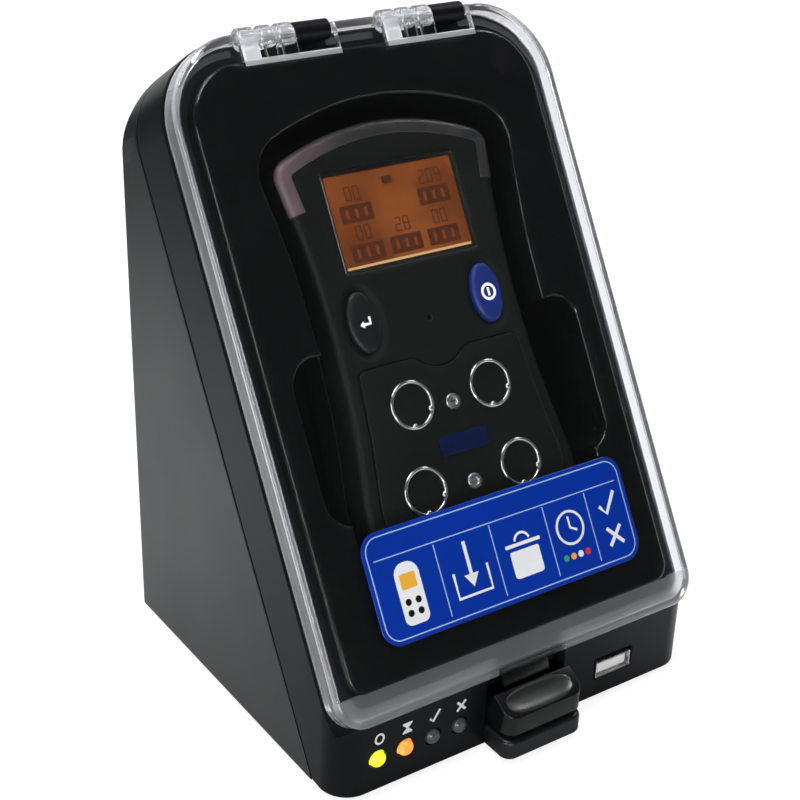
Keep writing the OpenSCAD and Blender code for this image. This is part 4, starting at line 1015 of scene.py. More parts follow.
def lid_shell():
    """The lid without its hinges, cut across at both ends of the catch plate."""
    bm = bmesh.new()
    outline = rounded(-LID["half"], LID["half"], LID["v0"], LID["v1"], LID["low_r"], LID["top_r"], 12)
    inner_top = LID_T - LID_WALL
    profile = [(LID_FOOT, inner_top), (LID_FOOT_LOW, inner_top)]
    profile += round_over(LID_WALL, inner_top, 0.4, 3, True)
    profile += [(LID_WALL, LID_RIM + 0.3), (LID_WALL - 0.3, LID_RIM), (0.3, LID_RIM), (0.0, LID_RIM + 0.3)]
    profile += round_over(0.0, LID_T, LID_EDGE_R, 6) + [(LID_FOOT_LOW, LID_T), (LID_FOOT, LID_T)]
    skin(bm, outline, profile)
    for u in (-CATCH_HALF - CATCH_CLEAR, CATCH_HALF + CATCH_CLEAR):
        everything = [*bm.verts, *bm.edges, *bm.faces]
        bmesh.ops.bisect_plane(bm, geom=everything, plane_co=(u, 0, 0), plane_no=(1, 0, 0))
    return outward(bm)


def along_hinge(u):
    """A frame on the hinge's axis, with z to the right along it."""
    return Matrix.Translation((u, HINGE_V, HINGE_W)) @ Matrix.Rotation(math.pi / 2, 4, "Y")


def lid_knuckle(u):
    """One cored knuckle of the lid: three ribs round the pin, each with its arm to the lid's face."""
    arms = []
    profile = []
    core_r = KNUCKLE_R - 0.9
    soft = 0.3
    for start, end in ((0.0, 4.8), (6.6, 10.2), (12.0, LID_KNUCKLE_W)):
        profile += [(core_r, start), (KNUCKLE_R - soft, start), (KNUCKLE_R, start + soft)]
        profile += [(KNUCKLE_R, end - soft), (KNUCKLE_R - soft, end), (core_r, end)]
        arm = block((u + start + 0.02, 174.0, 5.45), (u + end - 0.02, HINGE_V, 6.98))
        round_edges(arm, soft, 2)
        arms.append(arm)
    barrel = bmesh.new()
    turned(barrel, profile, along_hinge(u), 32)
    return [outward(barrel)] + arms


# Numbers of the lid's finishes: its clear face, the walls from clear to milky, whose milky white is painted
# highlight, and the hazed bands at its foot, whose grey is painted reflection
CLEAR_FACE = 0
CLEAR_WALL = 1
KNUCKLE_WALL = 3
PAINTED_HIGHLIGHT_WALL = 6
FOOT_BAND = 8
INNER_BAND = 9


def lid_finish_at(u, v, w):
    """The number of the finish of a lid face whose middle is at a place in the slope frame."""
    rib = (u - HINGE_U if u > 0 else u + HINGE_U) + HINGE_GAP / 2 - HINGE_END
    at_catch = abs(u) < CATCH_HALF + CATCH_CLEAR
    if at_catch and v < LID["v0"] + LID_EDGE_R:
        return CLEAR_FACE
    # Faces by the hinges take milkier finishes, painted highlights on the knuckles.
    if v > HINGE_CUT_V - 1.7 and -1.0 < rib < HINGE_GAP - 1.0:
        if v < HINGE_CUT_V + 0.2 and w > 5.4:
            return PAINTED_HIGHLIGHT_WALL
        if v < HINGE_V - 2.0 and w > 5.3:
            return PAINTED_HIGHLIGHT_WALL if rib < 5.5 else CLEAR_FACE
        return KNUCKLE_WALL
    side_in = LID["half"] - abs(u)
    foot_in = v - LID["v0"]
    low_r = LID["low_r"]
    foot = low_r - math.hypot(max(0.0, low_r - side_in), max(0.0, low_r - foot_in))
    # The foot's bands take the grey finishes, a painted reflection.
    if min(side_in, foot_in) < LID_FOOT and foot_in < low_r - 0.1 and w > LID_T - LID_WALL - 0.1:
        return FOOT_BAND if min(foot, foot_in, side_in) < LID_FOOT_LOW and not at_catch else INNER_BAND
    top_r = LID["top_r"]
    past_side = max(0.0, top_r - side_in)
    past_top = max(0.0, top_r - LID["v1"] + v)
    inset = min(side_in, LID["v1"] - v, foot_in, top_r - math.hypot(past_side, past_top))
    if inset > LID_WALL + 0.3 or w > LID_T - 0.35:
        return CLEAR_FACE
    # Corner faces grow milkier towards the middle of their turn, a painted highlight.
    if inset > 0.6 or past_top == 0.0 or past_side == 0.0:
        return CLEAR_WALL
    turn = math.degrees(math.atan2(past_top, past_side))
    return CLEAR_WALL + 1 + min(5, int(min(turn, 90.0 - turn) / 7.5))


def lid_piece():
    """The lid with its knuckles and bores. Each face takes the finish for its place, and the milkier finishes
    are painted highlights and reflections.
    """
    gaps = []
    parts = []
    bores = []
    for sign in (-1, 1):
        low = sign * HINGE_U - HINGE_GAP / 2
        high = low + HINGE_GAP
        gaps.append(block((low, HINGE_CUT_V, -2), (high, 192, 12)))
        parts += lid_knuckle(low + HINGE_END)
        bead = block((low + 0.05, HINGE_CUT_V - 1.5, 5.5), (high - 0.05, HINGE_CUT_V + 0.14, LID_T + 0.12))
        round_edges(bead, 0.12, 2)
        parts.append(bead)
        bore = bmesh.new()
        turned(bore, [(PIN_R, 0), (PIN_R, HINGE_GAP + 2)], along_hinge(low - 1), 28)
        bores.append(outward(bore))
    whole = combined(lid_shell(), gaps, "DIFFERENCE")
    whole = combined(whole, parts, "UNION")
    whole = combined(whole, bores, "DIFFERENCE")
    piece = finished("clear_lid", whole, ON_SLOPE, "lid", "clear_lid", ("lid",), 25.0)
    for finish in LID_WALLS_PAINTED_HIGHLIGHT + LID_BANDS_PAINTED_REFLECTION:
        piece.data.materials.append(finish)
    for face in piece.data.polygons:
        face.material_index = lid_finish_at(*(TO_SLOPE @ face.center))


lid_piece()


def lid_catch():
    """A black plate along the lid's lower edge. Its nose reaches under the lever."""
    nose = block((-8.0, -3.5, 0.62), (8.0, 1.6, 2.6))
    round_edges(nose, 0.4, 2)
    plate = bmesh.new()
    outline = rounded(-CATCH_HALF, CATCH_HALF, LID["v0"] + 0.05, LID["v0"] + LID_WALL - 0.1, 0.3, 0.9, 5)
    skin(plate, outline, [(0.3, 1.3), (0.0, 1.6), (0.0, 5.2), (0.3, 5.5)])
    bm = combined(nose, [outward(plate)], "UNION")
    finished("lid_catch", bm, ON_SLOPE, "lid", "lever_plastic", sharp=30.0)


lid_catch()


# Label on the lid. Its marks are plain pictograms of their own.

def label_piece():
    """The label's film, its lines and its pictograms."""
    u0 = LABEL["u"] - LABEL["w"] / 2
    v0 = LABEL["v"] - LABEL["h"] / 2
    u1 = u0 + LABEL["w"]
    v1 = v0 + LABEL["h"]
    film = bmesh.new()
    outline = rounded(u0, u1, v0, v1, LABEL["r"], LABEL["r"])
    skin(film, outline, [(0, LID_T + 0.02), (0, LID_T + 0.15), (0.08, LID_T + 0.2)])
    finished("label_sheet", film, ON_SLOPE, "lid", "label_film", ("lid_label",))
    top = LID_T + 0.22
    lines = bmesh.new()
    ribbon(lines, outline(1.3), 0.36, top, True)
    for share in (0.245, 0.455, 0.665, 0.835):
        u = u0 + share * LABEL["w"]
        ribbon(lines, [(u, v0 + 2.6), (u, v1 - 8.0)], 0.32, top)
    ribbon(lines, [(u0 + 3.0, v1 - 7.4), (u1 - 3.0, v1 - 7.4)], 0.32, top)
    finished("label_lines", lines, ON_SLOPE, "lid", finish=PALE_INK)
    white = bmesh.new()
    # A meter
    cu = u0 + 11.6
    cv = v0 + 12.2
    body = rounded(cu - 3.9, cu + 3.9, cv - 8.2, cv + 8.6, 2.0, 3.4, 5)
    patch(white, body(0), top)
    dots = bmesh.new()
    for du, dv in ((-1.6, -2.0), (1.6, -2.0), (-1.6, -5.0), (1.6, -5.0)):
        disc(dots, cu + du, cv + dv, 0.95, top + INK_T)
    finished("label_meter_dots", dots, ON_SLOPE, "lid", finish=DARK_INK)
    screen = bmesh.new()
    patch(screen, rounded(cu - 2.5, cu + 2.5, cv + 1.4, cv + 5.6, 0.5, 0.5, 3)(0), top + INK_T)
    finished("label_screen", screen, ON_SLOPE, "lid", finish=AMBER_INK)
    # A tray with an arrow down into it
    cu = u0 + 0.35 * LABEL["w"]
    tray = [(cu - 5.6, cv + 1.0), (cu - 5.6, cv - 6.0), (cu + 5.6, cv - 6.0), (cu + 5.6, cv + 1.0)]
    ribbon(white, tray, 0.8, top)
    ribbon(white, [(cu, cv + 8.6), (cu, cv - 0.6)], 1.1, top)
    patch(white, [(cu - 2.4, cv - 0.4), (cu, cv - 4.0), (cu + 2.4, cv - 0.4)], top)
    # A closed box
    cu = u0 + 0.56 * LABEL["w"]
    patch(white, rounded(cu - 5.0, cu + 5.0, cv - 6.4, cv + 1.2, 1.0, 0.6, 3)(0), top)
    ribbon(white, [(cu - 6.0, cv + 2.8), (cu + 6.0, cv + 2.8)], 1.0, top)
    ribbon(white, arc(cu, cv + 3.2, 2.6, 15, 150, 10), 0.7, top)
    # A clock and four lamp dots
    cu = u0 + 0.75 * LABEL["w"]
    ribbon(white, arc(cu, cv + 2.4, 4.6, 0, 352, 40), 0.75, top, True)
    ribbon(white, [(cu, cv + 5.6), (cu, cv + 2.4), (cu + 2.2, cv + 1.2)], 0.7, top)
    for number, ink in enumerate((GREEN_INK, AMBER_INK, WHITE_INK, RED_INK)):
        dot = bmesh.new()
        disc(dot, cu + 2.6 * number - 3.9, cv - 5.6, 0.95, top)
        finished("label_dot_" + str(number), dot, ON_SLOPE, "lid", finish=ink)
    # A tick and a cross
    cu = u0 + 0.915 * LABEL["w"]
    ribbon(white, [(cu - 3.0, cv + 5.2), (cu - 1.0, cv + 2.6), (cu + 3.2, cv + 8.4)], 1.1, top)
    cross(white, cu, cv - 4.0, 2.5, 2.6, 1.1, top)
    finished("label_marks", white, ON_SLOPE, "lid", finish=WHITE_INK)


label_piece()


# Detector

def screen_outline(margin, radius):
    """The display's rectangle with a margin round it."""
    across = LCD_W / 2 + margin
    up = LCD_H / 2 + margin
    return rounded(-across, across, LCD_V - up, LCD_V + up, radius, radius, 4)


display_outline = screen_outline(1.2, 1.0)


def cover_points():
    """The sensor cover's outline, with the shallow dip in its top edge."""
    centre_v = COVER_V1 - COVER_DIP + COVER_DIP_R
    corner_r = 2.4
    edge = [p for p in detector_outline(COVER_EDGE) if p[0] > 0 and p[1] < COVER_V1 - corner_r]
    reach = edge[-1][0]
    points = edge + arc(reach - corner_r, COVER_V1 - corner_r, corner_r, 10, 80, 6)
    dip = math.sqrt(COVER_DIP_R ** 2 - (COVER_DIP_R - COVER_DIP) ** 2)
    points.append((dip + 0.8, COVER_V1))
    for k in range(9):
        u = (dip - 0.5) * (1 - k / 9)
        points.append((u, centre_v - math.sqrt(COVER_DIP_R ** 2 - u ** 2)))
    return points + [(0.0, COVER_V1 - COVER_DIP)] + [(-u, v) for u, v in reversed(points)]


cover_outline = drawn_in(cover_points())


def front_case():
    """The front of the case, with hollows for the display, the keys, the sound hole and the sensor cover."""
    bm = bmesh.new()
    lip = [(0.5, DET_PART + 0.02), (0.12, DET_PART + 0.4), (0.0, DET_PART + 0.9)]
    shell = skin(bm, detector_outline, lip + round_over(0, DET_FRONT, 2.0, 6), True, False)
    # Hollows in the front, as pairs of inset and depth
    window = ((-0.7, 0.0), (-0.2, 0.2), (0.0, 0.7), (0.0, 1.5))
    dish = ((-2.6, 0.0), (-1.9, 0.12), (-1.1, 0.42), (-0.4, 0.75), (0.0, 0.9), (0.0, 2.4))
    sound = ((-0.35, 0.0), (0.0, 0.3), (0.0, 2.0))
    seat = ((-0.45, 0.0), (-0.2, 0.2), (-0.2, 1.3))
    hollows = [(display_outline, window)]
    hollows += [(oval(u, KEY_V, KEY_A + 0.35, KEY_B + 0.35), dish) for u in (-KEY_U, KEY_U)]
    hollows += [(oval(0.0, BUZZER_V, 0.7, 0.7, 20), sound), (cover_outline, seat)]
    holes = []
    for outline, steps in hollows:
        holes.append(pit(bm, outline, [(inset, DET_FRONT - depth) for inset, depth in steps]))
    fill_between(bm, shell[-1], *holes)
    finished("detector_front", bm, ON_SLOPE, "station", "case_black", ("detector_front_case",), 28.0)


front_case()


def rear_case():
    """The back of the case, from its rounded rear edge to the parting groove."""
    bm = bmesh.new()
    profile = [(inset, -w) for inset, w in round_over(0, -DET_BACK, 4.0, 6, True)]
    profile += [(0.0, DET_PART - 0.9), (0.12, DET_PART - 0.4), (0.5, DET_PART - 0.02)]
    skin(bm, detector_outline, profile)
    finished("detector_back", bm, ON_SLOPE, "station", "case_black", ("detector_rear_case",), 28.0)


rear_case()


def alarm_bar():
    """The light bar that follows the arched top."""
    bm = bmesh.new()
    section = [(0.3, -0.3)] + round_over(-0.12, DET_FRONT + 0.1, 2.0, 6)
    section += [(BAR_W - 0.5, DET_FRONT + 0.1), (BAR_W, DET_FRONT - 0.2), (BAR_W, 0.9), (2.4, -0.3)]
    lines = [detector_outline(inset) for inset, _ in section]
    rings = []
    for i, (_, v) in enumerate(detector_outline(0)):
        if v > BAR_V0:
            rings.append([(*lines[k][i], section[k][1]) for k in range(len(section))])
    loft(bm, rings)
    finished("alarm_bar", bm, ON_SLOPE, "station", "light_bar", ("alarm_light_bar",), 28.0)


alarm_bar()


def sensor_plate():
    """The sensor cover with seats for the rings and screws."""
    bm = bmesh.new()
    top = DET_FRONT + 0.4
    profile = [(0.0, 0.8), (0.0, top - 0.5)] + round_over(0, top, 0.5, 3)[1:]
    shell = skin(bm, cover_outline, profile, True, False)
    holes = []
    for u, v in SENSORS:
        ring = oval(u, v, RING_R + 0.1, RING_R + 0.1, 44)
        holes.append(pit(bm, ring, [(-0.25, top), (0.0, top - 0.25), (0.0, DET_FRONT)]))
    for u, v in COVER_SCREWS:
        seat = oval(u, v, 2.45, 2.45, 28)
        holes.append(pit(bm, seat, [(-0.3, top), (0.0, top - 0.3), (0.0, DET_FRONT - 0.2)]))
    fill_between(bm, shell[-1], *holes)
    finished("sensor_plate", bm, ON_SLOPE, "station", "case_black", ("sensor_cover",), 28.0)


sensor_plate()


def sensor_ring_set():
    """Bright rings, each with two small studs on its inner edge."""
    bm = bmesh.new()
    steps = 48
    inner = RING_R - 1.0
    section = [(RING_R, 2.0), (RING_R, 2.6), (RING_R - 0.2, 2.85), (RING_R - 0.5, 2.92), (RING_R - 0.8, 2.85)]
    section += [(inner, 2.6), (inner, 2.0)]
    stud = [(0.85, 0.0), (0.85, 0.3), (0.72, 0.58), (0.4, 0.76), (0.0, 0.82)]
    for u, v in SENSORS:
        rings = []
        for k in range(steps):
            a = 2 * math.pi * k / steps
            rings.append([(u + r * math.cos(a), v + r * math.sin(a), w) for r, w in section])
        loft(bm, rings + [rings[0]], False, False)
        for angle in (-22, -98):
            a = math.radians(angle)
            place = Matrix.Translation((u + inner * math.cos(a), v + inner * math.sin(a), 2.3))
            turned(bm, stud, place, 16)
    finished("sensor_bezels", bm, ON_SLOPE, "station", "ring_chrome", ("sensor_rings",), 40.0)


sensor_ring_set()


def filter_discs():
    """Membranes with raised rings."""
    bm = bmesh.new()
    profile = [(5.86, 1.0), (5.86, 1.5), (5.5, 1.7), (4.2, 1.78), (3.9, 1.5), (3.3, 1.5), (3.0, 1.8)]
    profile += [(1.4, 1.84), (1.1, 1.55), (0.0, 1.5)]
    for u, v in SENSORS:
        turned(bm, profile, Matrix.Translation((u, v, 0)), 36)
    finished("sensor_membranes", bm, ON_SLOPE, "station", "filter_black", ("sensor_filters",), 40.0)


filter_discs()


def plate_screws():
    """The heads of the cover's screws."""
    bm = bmesh.new()
    profile = [(2.25, 1.8), (2.25, 2.25), (2.05, 2.5), (1.5, 2.62), (1.2, 2.62), (1.1, 2.5), (1.05, 2.05)]
    profile += [(0, 2.0)]
    for u, v in COVER_SCREWS:
        turned(bm, profile, Matrix.Translation((u, v, 0)), 36)
    finished("plate_screw_heads", bm, ON_SLOPE, "station", "steel", ("cover_screws",), 30.0)


plate_screws()


def bare_plate():
    """A plain plate between the sensors."""
    bm = bmesh.new()
    low = PLATE["v"] - PLATE["half_h"]
    high = PLATE["v"] + PLATE["half_h"]
    outline = rounded(-PLATE["half"], PLATE["half"], low, high, PLATE["r"], PLATE["r"], 5)
    skin(bm, outline, [(0, 2.38), (0, 2.55)] + round_over(0, 2.7, 0.15, 2)[1:])
    finished("bare_name_plate", bm, ON_SLOPE, "station", "plate_blue", ("name_plate",))


bare_plate()


def keys():
    """The two domed keys and their printed marks."""
    dome = [(0.0, -0.5), (0.0, 1.7), (0.12, 2.1), (0.45, 2.45), (1.0, 2.66), (1.8, 2.76), (2.8, KEY_TOP)]
    for body, node, u in (("enter_key", "enter_button", -KEY_U), ("power_key", "power_button", KEY_U)):
        bm = bmesh.new()
        skin(bm, oval(u, KEY_V, KEY_A, KEY_B), dome)
        finished(body + "_cap", bm, ON_SLOPE, body, slot_of[node], (node,), 40.0)
    lift = KEY_TOP + 0.03
    hook = ((1.5, 1.2), (1.5, -0.7), (-0.6, -0.7))
    tip = ((-1.8, -0.7), (-0.5, -1.7), (-0.5, 0.3))
    mark = bmesh.new()
    ribbon(mark, [(-KEY_U + du, KEY_V + dv) for du, dv in hook], 0.75, lift)
    patch(mark, [(-KEY_U + du, KEY_V + dv) for du, dv in tip], lift)
    finished("enter_mark", mark, ON_SLOPE, "enter_key", finish=WHITE_INK)
    mark = bmesh.new()
    ribbon(mark, arc(KEY_U, KEY_V, 2.1, 0, 352, 36), 0.8, lift, True)
    ribbon(mark, [(KEY_U, KEY_V + 1.2), (KEY_U, KEY_V - 1.2)], 0.75, lift + 0.01)
    finished("power_mark", mark, ON_SLOPE, "power_key", finish=WHITE_INK)


keys()


# Display. Each group is a row of seven-stroke figures over a dark box with three paler strokes.

SEGMENTS = {"0": "abcdef", "2": "abged", "8": "abcdefg", "9": "abfgcd"}


def figure(bm, digit, u, v, wide, high, height):
    """A seven-stroke figure with its lower left corner at u, v."""
    stroke = wide * 0.24
    mid = v + high / 2
    bars = {"a": (u, v + high, u + wide, v + high), "g": (u, mid, u + wide, mid), "d": (u, v, u + wide, v),
            "f": (u, mid, u, v + high), "b": (u + wide, mid, u + wide, v + high),
            "e": (u, v, u, mid), "c": (u + wide, v, u + wide, mid)}
    for part in SEGMENTS[digit]:
        a, b, c, d = bars[part]
        ribbon(bm, [(a, b), (c, d)], stroke, height)


def display():
    """The window, its printed border and the figures behind it."""
    box_w = 0.63
    figure_w = 0.64
    stroke_w = 0.65
    border_w = 0.72
    edge_w = 0.74
    glass = bmesh.new()
    skin(glass, screen_outline(1.0, 0.8), [(0, 0.78), (0, 1.5), (0.25, 1.75)])
    finished("display_pane", glass, ON_SLOPE, "station", "window_clear", ("display_window",))
    mask = bmesh.new()
    outer = [mask.verts.new((u, v, border_w)) for u, v in display_outline(0.02)]
    inner = [mask.verts.new((u, v, border_w)) for u, v in screen_outline(0.0, 0.7)(0)]
    fill_between(mask, outer, inner)
    finished("display_border", mask, ON_SLOPE, "station", finish=DARK_INK)
    dark = bmesh.new()
    faint = bmesh.new()
    left = -LCD_W / 2
    top = LCD_V + LCD_H / 2
    # Place from the left, drop from the top and digits of each group
    groups = ((2.6, 2.6, "00"), (28.6, 1.8, "209"), (3.0, 13.6, "00"), (15.8, 13.4, "28"), (28.4, 13.4, "00"))
    for u, drop, digits in groups:
        base = top - drop - 5.6
        for k, digit in enumerate(digits):
            at = left + u + 4.4 + 2.7 * (k - (len(digits) - 1) / 2)
            figure(dark, digit, at, base + 0.9, 1.7, 3.7, figure_w)
        patch(dark, rounded(left + u, left + u + 10.4, base - 5.2, base - 0.3, 0.3, 0.3, 2)(0), box_w)
        for k in range(3):
            at = left + u + 2.2 + 3.0 * k
            ribbon(faint, [(at, base - 4.0), (at, base - 1.5)], 1.0, stroke_w)
    patch(dark, rounded(left + 18.2, left + 21.6, top - 4.6, top - 2.4, 0.3, 0.3, 2)(0), box_w)
    finished("display_figures", dark, ON_SLOPE, "station", finish=LCD_MARK)
    finished("display_boxes", faint, ON_SLOPE, "station", finish=LCD_FAINT)
    pale = bmesh.new()
    low = LCD_V - LCD_H / 2 + 0.4
    ribbon(pale, [(left + 0.3, low), (-left - 0.3, low)], 0.7, edge_w)
    finished("display_edge", pale, ON_SLOPE, "station", finish=LCD_EDGE)


display()


# Nose

def nose_lamps():
    """Four domed lenses."""
    stem_r = LAMP_R - 0.05
    lens_r = LAMP_R - 0.35
    profile = [(0.0, -6.0), (stem_r, -6.0), (stem_r, -0.9), (lens_r, -0.8), (lens_r, 0.1)]
    for angle in range(12, 91, 13):
        a = math.radians(angle)
        profile.append((lens_r * math.cos(a), 0.1 + 1.5 * math.sin(a)))
    for name, x in zip(LAMPS, LAMP_X):
        bm = bmesh.new()
        turned(bm, profile, Matrix.Translation((x, LAMP_Z, 0)), 32)
        finished(name + "_lens", bm, FACING_FRONT, "station", slot_of[name], (name,), 50.0)


nose_lamps()


def nose_marks():
    """A ring, an hourglass, a tick and a cross, one above each lamp."""
    bm = bmesh.new()
    z = 16.6
    lift = 0.05
    ring_x, glass_x, tick_x, cross_x = (x + 0.4 for x in LAMP_X)
    ring = arc(ring_x, z, 1.5, 0, 350, 28)
    ribbon(bm, [(ring_x + 0.85 * (x - ring_x), y) for x, y in ring], 0.62, lift, True)
    upper = ((-1.5, 1.7), (-1.5, 1.2), (-0.25, 0.0), (0.25, 0.0), (1.5, 1.2), (1.5, 1.7))
    lower = ((-1.5, -1.7), (1.5, -1.7), (1.5, -1.2), (0.25, 0.0), (-0.25, 0.0), (-1.5, -1.2))
    for half in (upper, lower):
        patch(bm, [(glass_x + dx, z + dz) for dx, dz in half], lift)
    ribbon(bm, [(tick_x - 1.5, z - 0.2), (tick_x - 0.5, z - 1.4), (tick_x + 1.7, z + 1.9)], 0.8, lift)
    cross(bm, cross_x, z, 1.4, 1.5, 0.8, lift)
    finished("nose_marks", bm, FACING_FRONT, "station", finish=WHITE_INK)


nose_marks()


def usb_socket():
    """The socket's steel frame, its core and four contacts."""
    bm = bmesh.new()
    outline = rounded(USB_X - USB_HALF_W, USB_X + USB_HALF_W,
                      USB_Z - USB_HALF_H, USB_Z + USB_HALF_H, 0.9, 0.9, 6)
    profile = [(0.02, -13.8), (0.0, -0.2), (0.1, 0.1), (0.25, 0.18), (0.42, 0.06), (0.45, -13.4)]
    skin(bm, outline, profile)
    finished("usb_frame", bm, FACING_FRONT, "station", "socket_steel", ("usb_shell",), 35.0)
    core = bmesh.new()
    outline = rounded(USB_X - 5.5, USB_X + 5.0, USB_Z - 1.3, USB_Z + 1.75, 0.3, 0.3, 3)
    skin(core, outline, [(0.0, -12.0), (0.0, -0.6), (0.12, -0.35), (0.3, -0.3)])
    finished("usb_core", core, FACING_FRONT, "station", "socket_insulator", ("usb_insulator",), 35.0)
    pads = bmesh.new()
    contacts = 4
    for k in range(contacts):
        x = USB_X - 3.75 + 7.0 * k / (contacts - 1)
        block((x - 0.5, USB_Z - 1.46, -9.0), (x + 0.5, USB_Z - 1.28, -3.0), pads)
    finished("usb_contacts", pads, FACING_FRONT, "station", "contact_gold")


usb_socket()


# Catch

def tongue():
    """The ledge under the lever, cut off flush with the nose."""
    bm = bmesh.new()
    outline = rounded(-TONGUE_HALF, TONGUE_HALF, TONGUE_FRONT, 4.0, 3.5, 0.02, 8)
    skin(bm, outline, [(0.9, 0.0), (0.35, 0.2), (0.0, 0.8)] + round_over(0, TONGUE_H, 1.2, 4))
    behind_front = block((-30, -0.01, -5), (30, 20, 20))
    bm = combined(bm, [behind_front], "DIFFERENCE")
    finished("catch_tongue", bm, STATION, "station", slot_of["latch_tongue"], ("latch_tongue",), 30.0,
             FINISH["housing_plastic"])


tongue()


def lever():
    """The lever with rounded edges and a dish for the thumb."""
    profile = ((-10.0, 7.8), (-10.0, 13.8), (-2.6, 17.9), (-2.2, 17.5), (-1.8, 13.0), (7.4, 13.0), (7.4, 7.8))
    bm = bmesh.new()
    left = [bm.verts.new((-LEVER_HALF, y, z)) for y, z in profile]
    right = [bm.verts.new((LEVER_HALF, y, z)) for y, z in profile]
    bm.faces.new(left)
    bm.faces.new(right[::-1])
    for i in range(len(profile)):
        j = (i + 1) % len(profile)
        bm.faces.new((left[i], right[i], right[j], left[j]))
    outward(bm)
    front = [e for e in bm.edges
             if all(v.co.y < -9.9 for v in e.verts) and abs(e.verts[0].co.x - e.verts[1].co.x) < 0.1]
    bmesh.ops.bevel(bm, geom=front, offset=3.5, segments=7, profile=0.5, affect="EDGES")
    top = [e for e in bm.edges if e.calc_face_angle(0.0) > math.radians(22)
           and all(v.co.y < -2.1 and v.co.z > 13.5 for v in e.verts)]
    bmesh.ops.bevel(bm, geom=top, offset=2.2, segments=6, profile=0.5, affect="EDGES", clamp_overlap=True)
    round_edges(bm, 0.5, 3, 40.0, lambda e: all(v.co.z < 7.9 for v in e.verts))
    # A dish squarer than an oval, by these powers along and across the lever
    along = 0.72
    across = 0.8
    dish = bmesh.new()
    tilt = Matrix.Rotation(math.atan2(4.1, 7.4), 4, "X")
    place = Matrix.Translation((0.0, -6.3, 16.1)) @ tilt @ Matrix.Diagonal((11.4, 3.9, 1.7, 1.0))
    bmesh.ops.create_uvsphere(dish, u_segments=48, v_segments=24, radius=1.0)
    for vert in dish.verts:
        x, y, z = vert.co
        vert.co = place @ Vector((math.copysign(abs(x) ** along, x), math.copysign(abs(y) ** across, y), z))
    bm = combined(bm, [dish], "DIFFERENCE")
    piece = finished("catch_lever", bm, STATION, "latch", "lever_plastic", ("latch_lever",), 30.0)
    # The dish's faces take the lighter finish, a painted sheen.
    piece.data.materials.append(LEVER_DISH_PAINTED_SHEEN)
    into_dish = place.inverted() @ TO_STATION
    for face in piece.data.polygons:
        x, y, z = into_dish @ face.center
        if z < -0.2 and abs(x) ** (2 / along) + abs(y) ** (2 / across) + z * z < 1.15:
            face.material_index = 1


lever()


# Studio, in metres: a white floor and backdrop, and soft boxes above, at the right, at the left and in front

def floor():
    """A white table."""
    bm = bmesh.new()
    bmesh.ops.create_grid(bm, x_segments=2, y_segments=2, size=4.0)
    mesh = bpy.data.meshes.new("floor")
    bm.to_mesh(mesh)
    bm.free()
    material, tree, shader = new_finish("floor_white")
    cloud = add(tree, "ShaderNodeTexNoise", {"Scale": 3.0, "Detail": 2.0})
    tree.links.new(mix_colour(tree, cloud.outputs["Fac"], (0.34, 0.34, 0.34, 1), (0.38, 0.38, 0.38, 1)),
                   shader.inputs["Base Color"])
    shader.inputs["Roughness"].default_value = 0.9
    shader.inputs["Specular IOR Level"].default_value = 0.0
    # White to the eye. In reflections it is dark in front and far behind, bright between and at the right.
    here = add(tree, "ShaderNodeTexCoord").outputs["Object"]
    place = add(tree, "ShaderNodeSeparateXYZ", {0: here})
    across = math_node(tree, "MULTIPLY", place.outputs["X"], -0.6)
    back = math_node(tree, "ADD", place.outputs["Y"], across)
    near = spread(tree, back, -0.02, 0.16, 0.08, 0.66)
    far = spread(tree, back, 0.26, 0.58, 1.0, 0.03)
    right = spread(tree, place.outputs["X"], 0.035, 0.085, 0.0, 0.95)
    table = math_node(tree, "MAXIMUM", math_node(tree, "MULTIPLY", near, far), right)
    path = add(tree, "ShaderNodeLightPath")
    glossy = math_node(tree, "MULTIPLY", path.outputs["Is Glossy Ray"], table)
    through = math_node(tree, "MULTIPLY", path.outputs["Is Transmission Ray"], table)
    spot = add(tree, "ShaderNodeVectorMath", {0: here}, operation="LENGTH")
    white = spread(tree, spot.outputs["Value"], 0.12, 0.55, 0.84, 1.0)
    eye = math_node(tree, "MULTIPLY", path.outputs["Is Camera Ray"], white)
    level = math_node(tree, "MAXIMUM", eye, math_node(tree, "MAXIMUM", glossy, through))
    glow = add(tree, "ShaderNodeEmission", {"Color": (1, 1, 1, 1), "Strength": level})
    both = add(tree, "ShaderNodeAddShader")
    tree.links.new(shader.outputs["BSDF"], both.inputs[0])
    tree.links.new(glow.outputs[0], both.inputs[1])
    output = next(n for n in tree.nodes if n.type == "OUTPUT_MATERIAL")
    tree.links.new(both.outputs[0], output.inputs["Surface"])
    mesh.materials.append(material)
    ground = bpy.data.objects.new("floor", mesh)
    bpy.context.scene.collection.objects.link(ground)


floor()


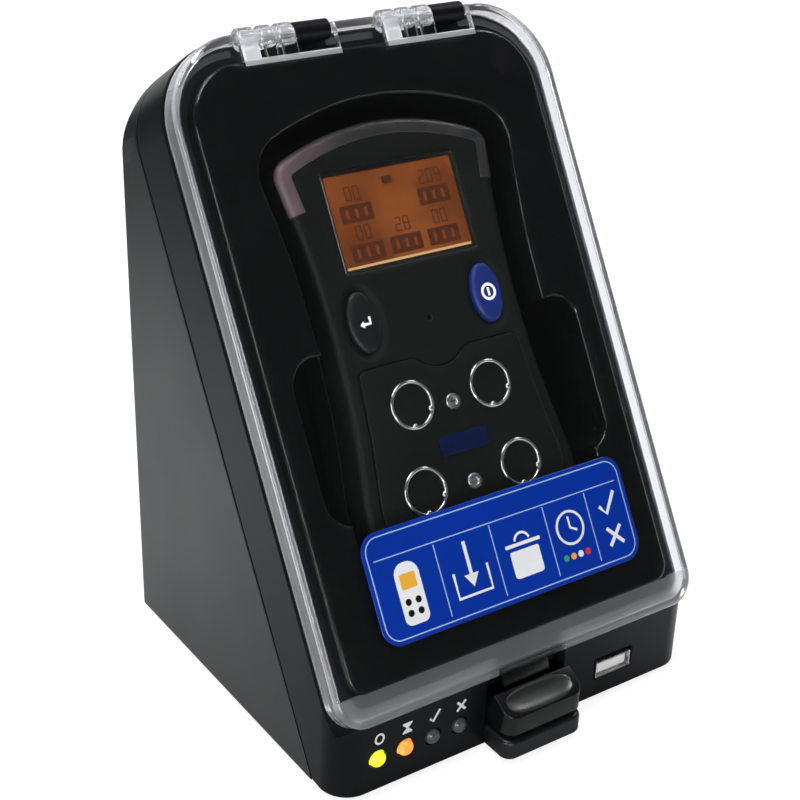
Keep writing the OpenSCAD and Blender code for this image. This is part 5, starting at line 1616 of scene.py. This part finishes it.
def world():
    """The backdrop and the room's light."""
    sky = bpy.data.worlds.new("studio")
    bpy.context.scene.world = sky
    sky.use_nodes = True
    tree = sky.node_tree
    tree.nodes.clear()
    output = tree.nodes.new("ShaderNodeOutputWorld")
    # White to the eye, straight or through the lid. For other light a dim room, bright at the right rear.
    path = add(tree, "ShaderNodeLightPath")
    bounced = math_node(tree, "ADD", path.outputs["Glossy Depth"], path.outputs["Diffuse Depth"])
    direct = math_node(tree, "LESS_THAN", bounced, 0.5)
    through = math_node(tree, "MULTIPLY", path.outputs["Is Transmission Ray"], direct)
    seen = math_node(tree, "MAXIMUM", path.outputs["Is Camera Ray"], through)
    white = add(tree, "ShaderNodeBackground", {"Color": (1, 1, 1, 1), "Strength": 1.0})
    way = add(tree, "ShaderNodeSeparateXYZ", {0: add(tree, "ShaderNodeTexCoord").outputs["Generated"]})
    level = spread(tree, way.outputs["X"], -0.9, 0.6, 1.0, 0.0)
    dim = mix_colour(tree, level, (0.030, 0.031, 0.033, 1), (0.10, 0.102, 0.105, 1))
    right = spread(tree, way.outputs["X"], 0.45, 0.75, 0.0, 1.0)
    behind = spread(tree, way.outputs["Y"], -0.25, 0.15, 0.0, 1.0)
    dim = mix_colour(tree, math_node(tree, "MULTIPLY", right, behind), dim, (0.9, 0.9, 0.9, 1))
    room = add(tree, "ShaderNodeBackground", {"Color": dim, "Strength": 1.0})
    chosen = add(tree, "ShaderNodeMixShader", {0: seen})
    tree.links.new(room.outputs[0], chosen.inputs[1])
    tree.links.new(white.outputs[0], chosen.inputs[2])
    tree.links.new(chosen.outputs[0], output.inputs["Surface"])


world()


def soft_box(name, place, aim, wide, high, power):
    """An area lamp turned to a point."""
    lamp = bpy.data.lights.new(name, "AREA")
    lamp.shape = "RECTANGLE"
    lamp.size = wide
    lamp.size_y = high
    lamp.energy = power
    piece = bpy.data.objects.new(name, lamp)
    piece.location = place
    piece.rotation_euler = (Vector(aim) - Vector(place)).to_track_quat("-Z", "Y").to_euler()
    bpy.context.scene.collection.objects.link(piece)


CENTRE = (0.0, 0.0, 0.09)
soft_box("box_above", (-0.20, 0.12, 0.95), CENTRE, 0.60, 0.45, 7.5)
soft_box("box_right", (0.62, 0.05, 0.75), CENTRE, 0.20, 0.20, 1.2)
soft_box("box_left", (-0.90, -0.42, 0.38), CENTRE, 0.25, 0.72, 3.8)
soft_box("box_front", (-0.45, -0.85, 0.18), CENTRE, 0.30, 0.16, 3.5)


def camera():
    """The camera, as fitted to the housing's straight edges in the photo."""
    lens = bpy.data.cameras.new("camera")
    lens.sensor_width = 36.0
    lens.lens = 72.455
    lens.clip_start = 0.02
    lens.clip_end = 20.0
    piece = bpy.data.objects.new("camera", lens)
    right = Vector((0.82399991, -0.56577455, 0.03038586))
    down = Vector((-0.23246794, -0.38650245, -0.89251023))
    ahead = Vector((0.51670379, 0.72836462, -0.45000243))
    turn = Matrix((right, -down, -ahead)).transposed().to_4x4()
    eye = STATION @ Vector((-241.7413, -275.7998, 285.7464))
    piece.matrix_world = Matrix.Translation(eye) @ turn
    bpy.context.scene.collection.objects.link(piece)
    bpy.context.scene.camera = piece


camera()
bpy.context.scene.view_settings.view_transform = "Standard"
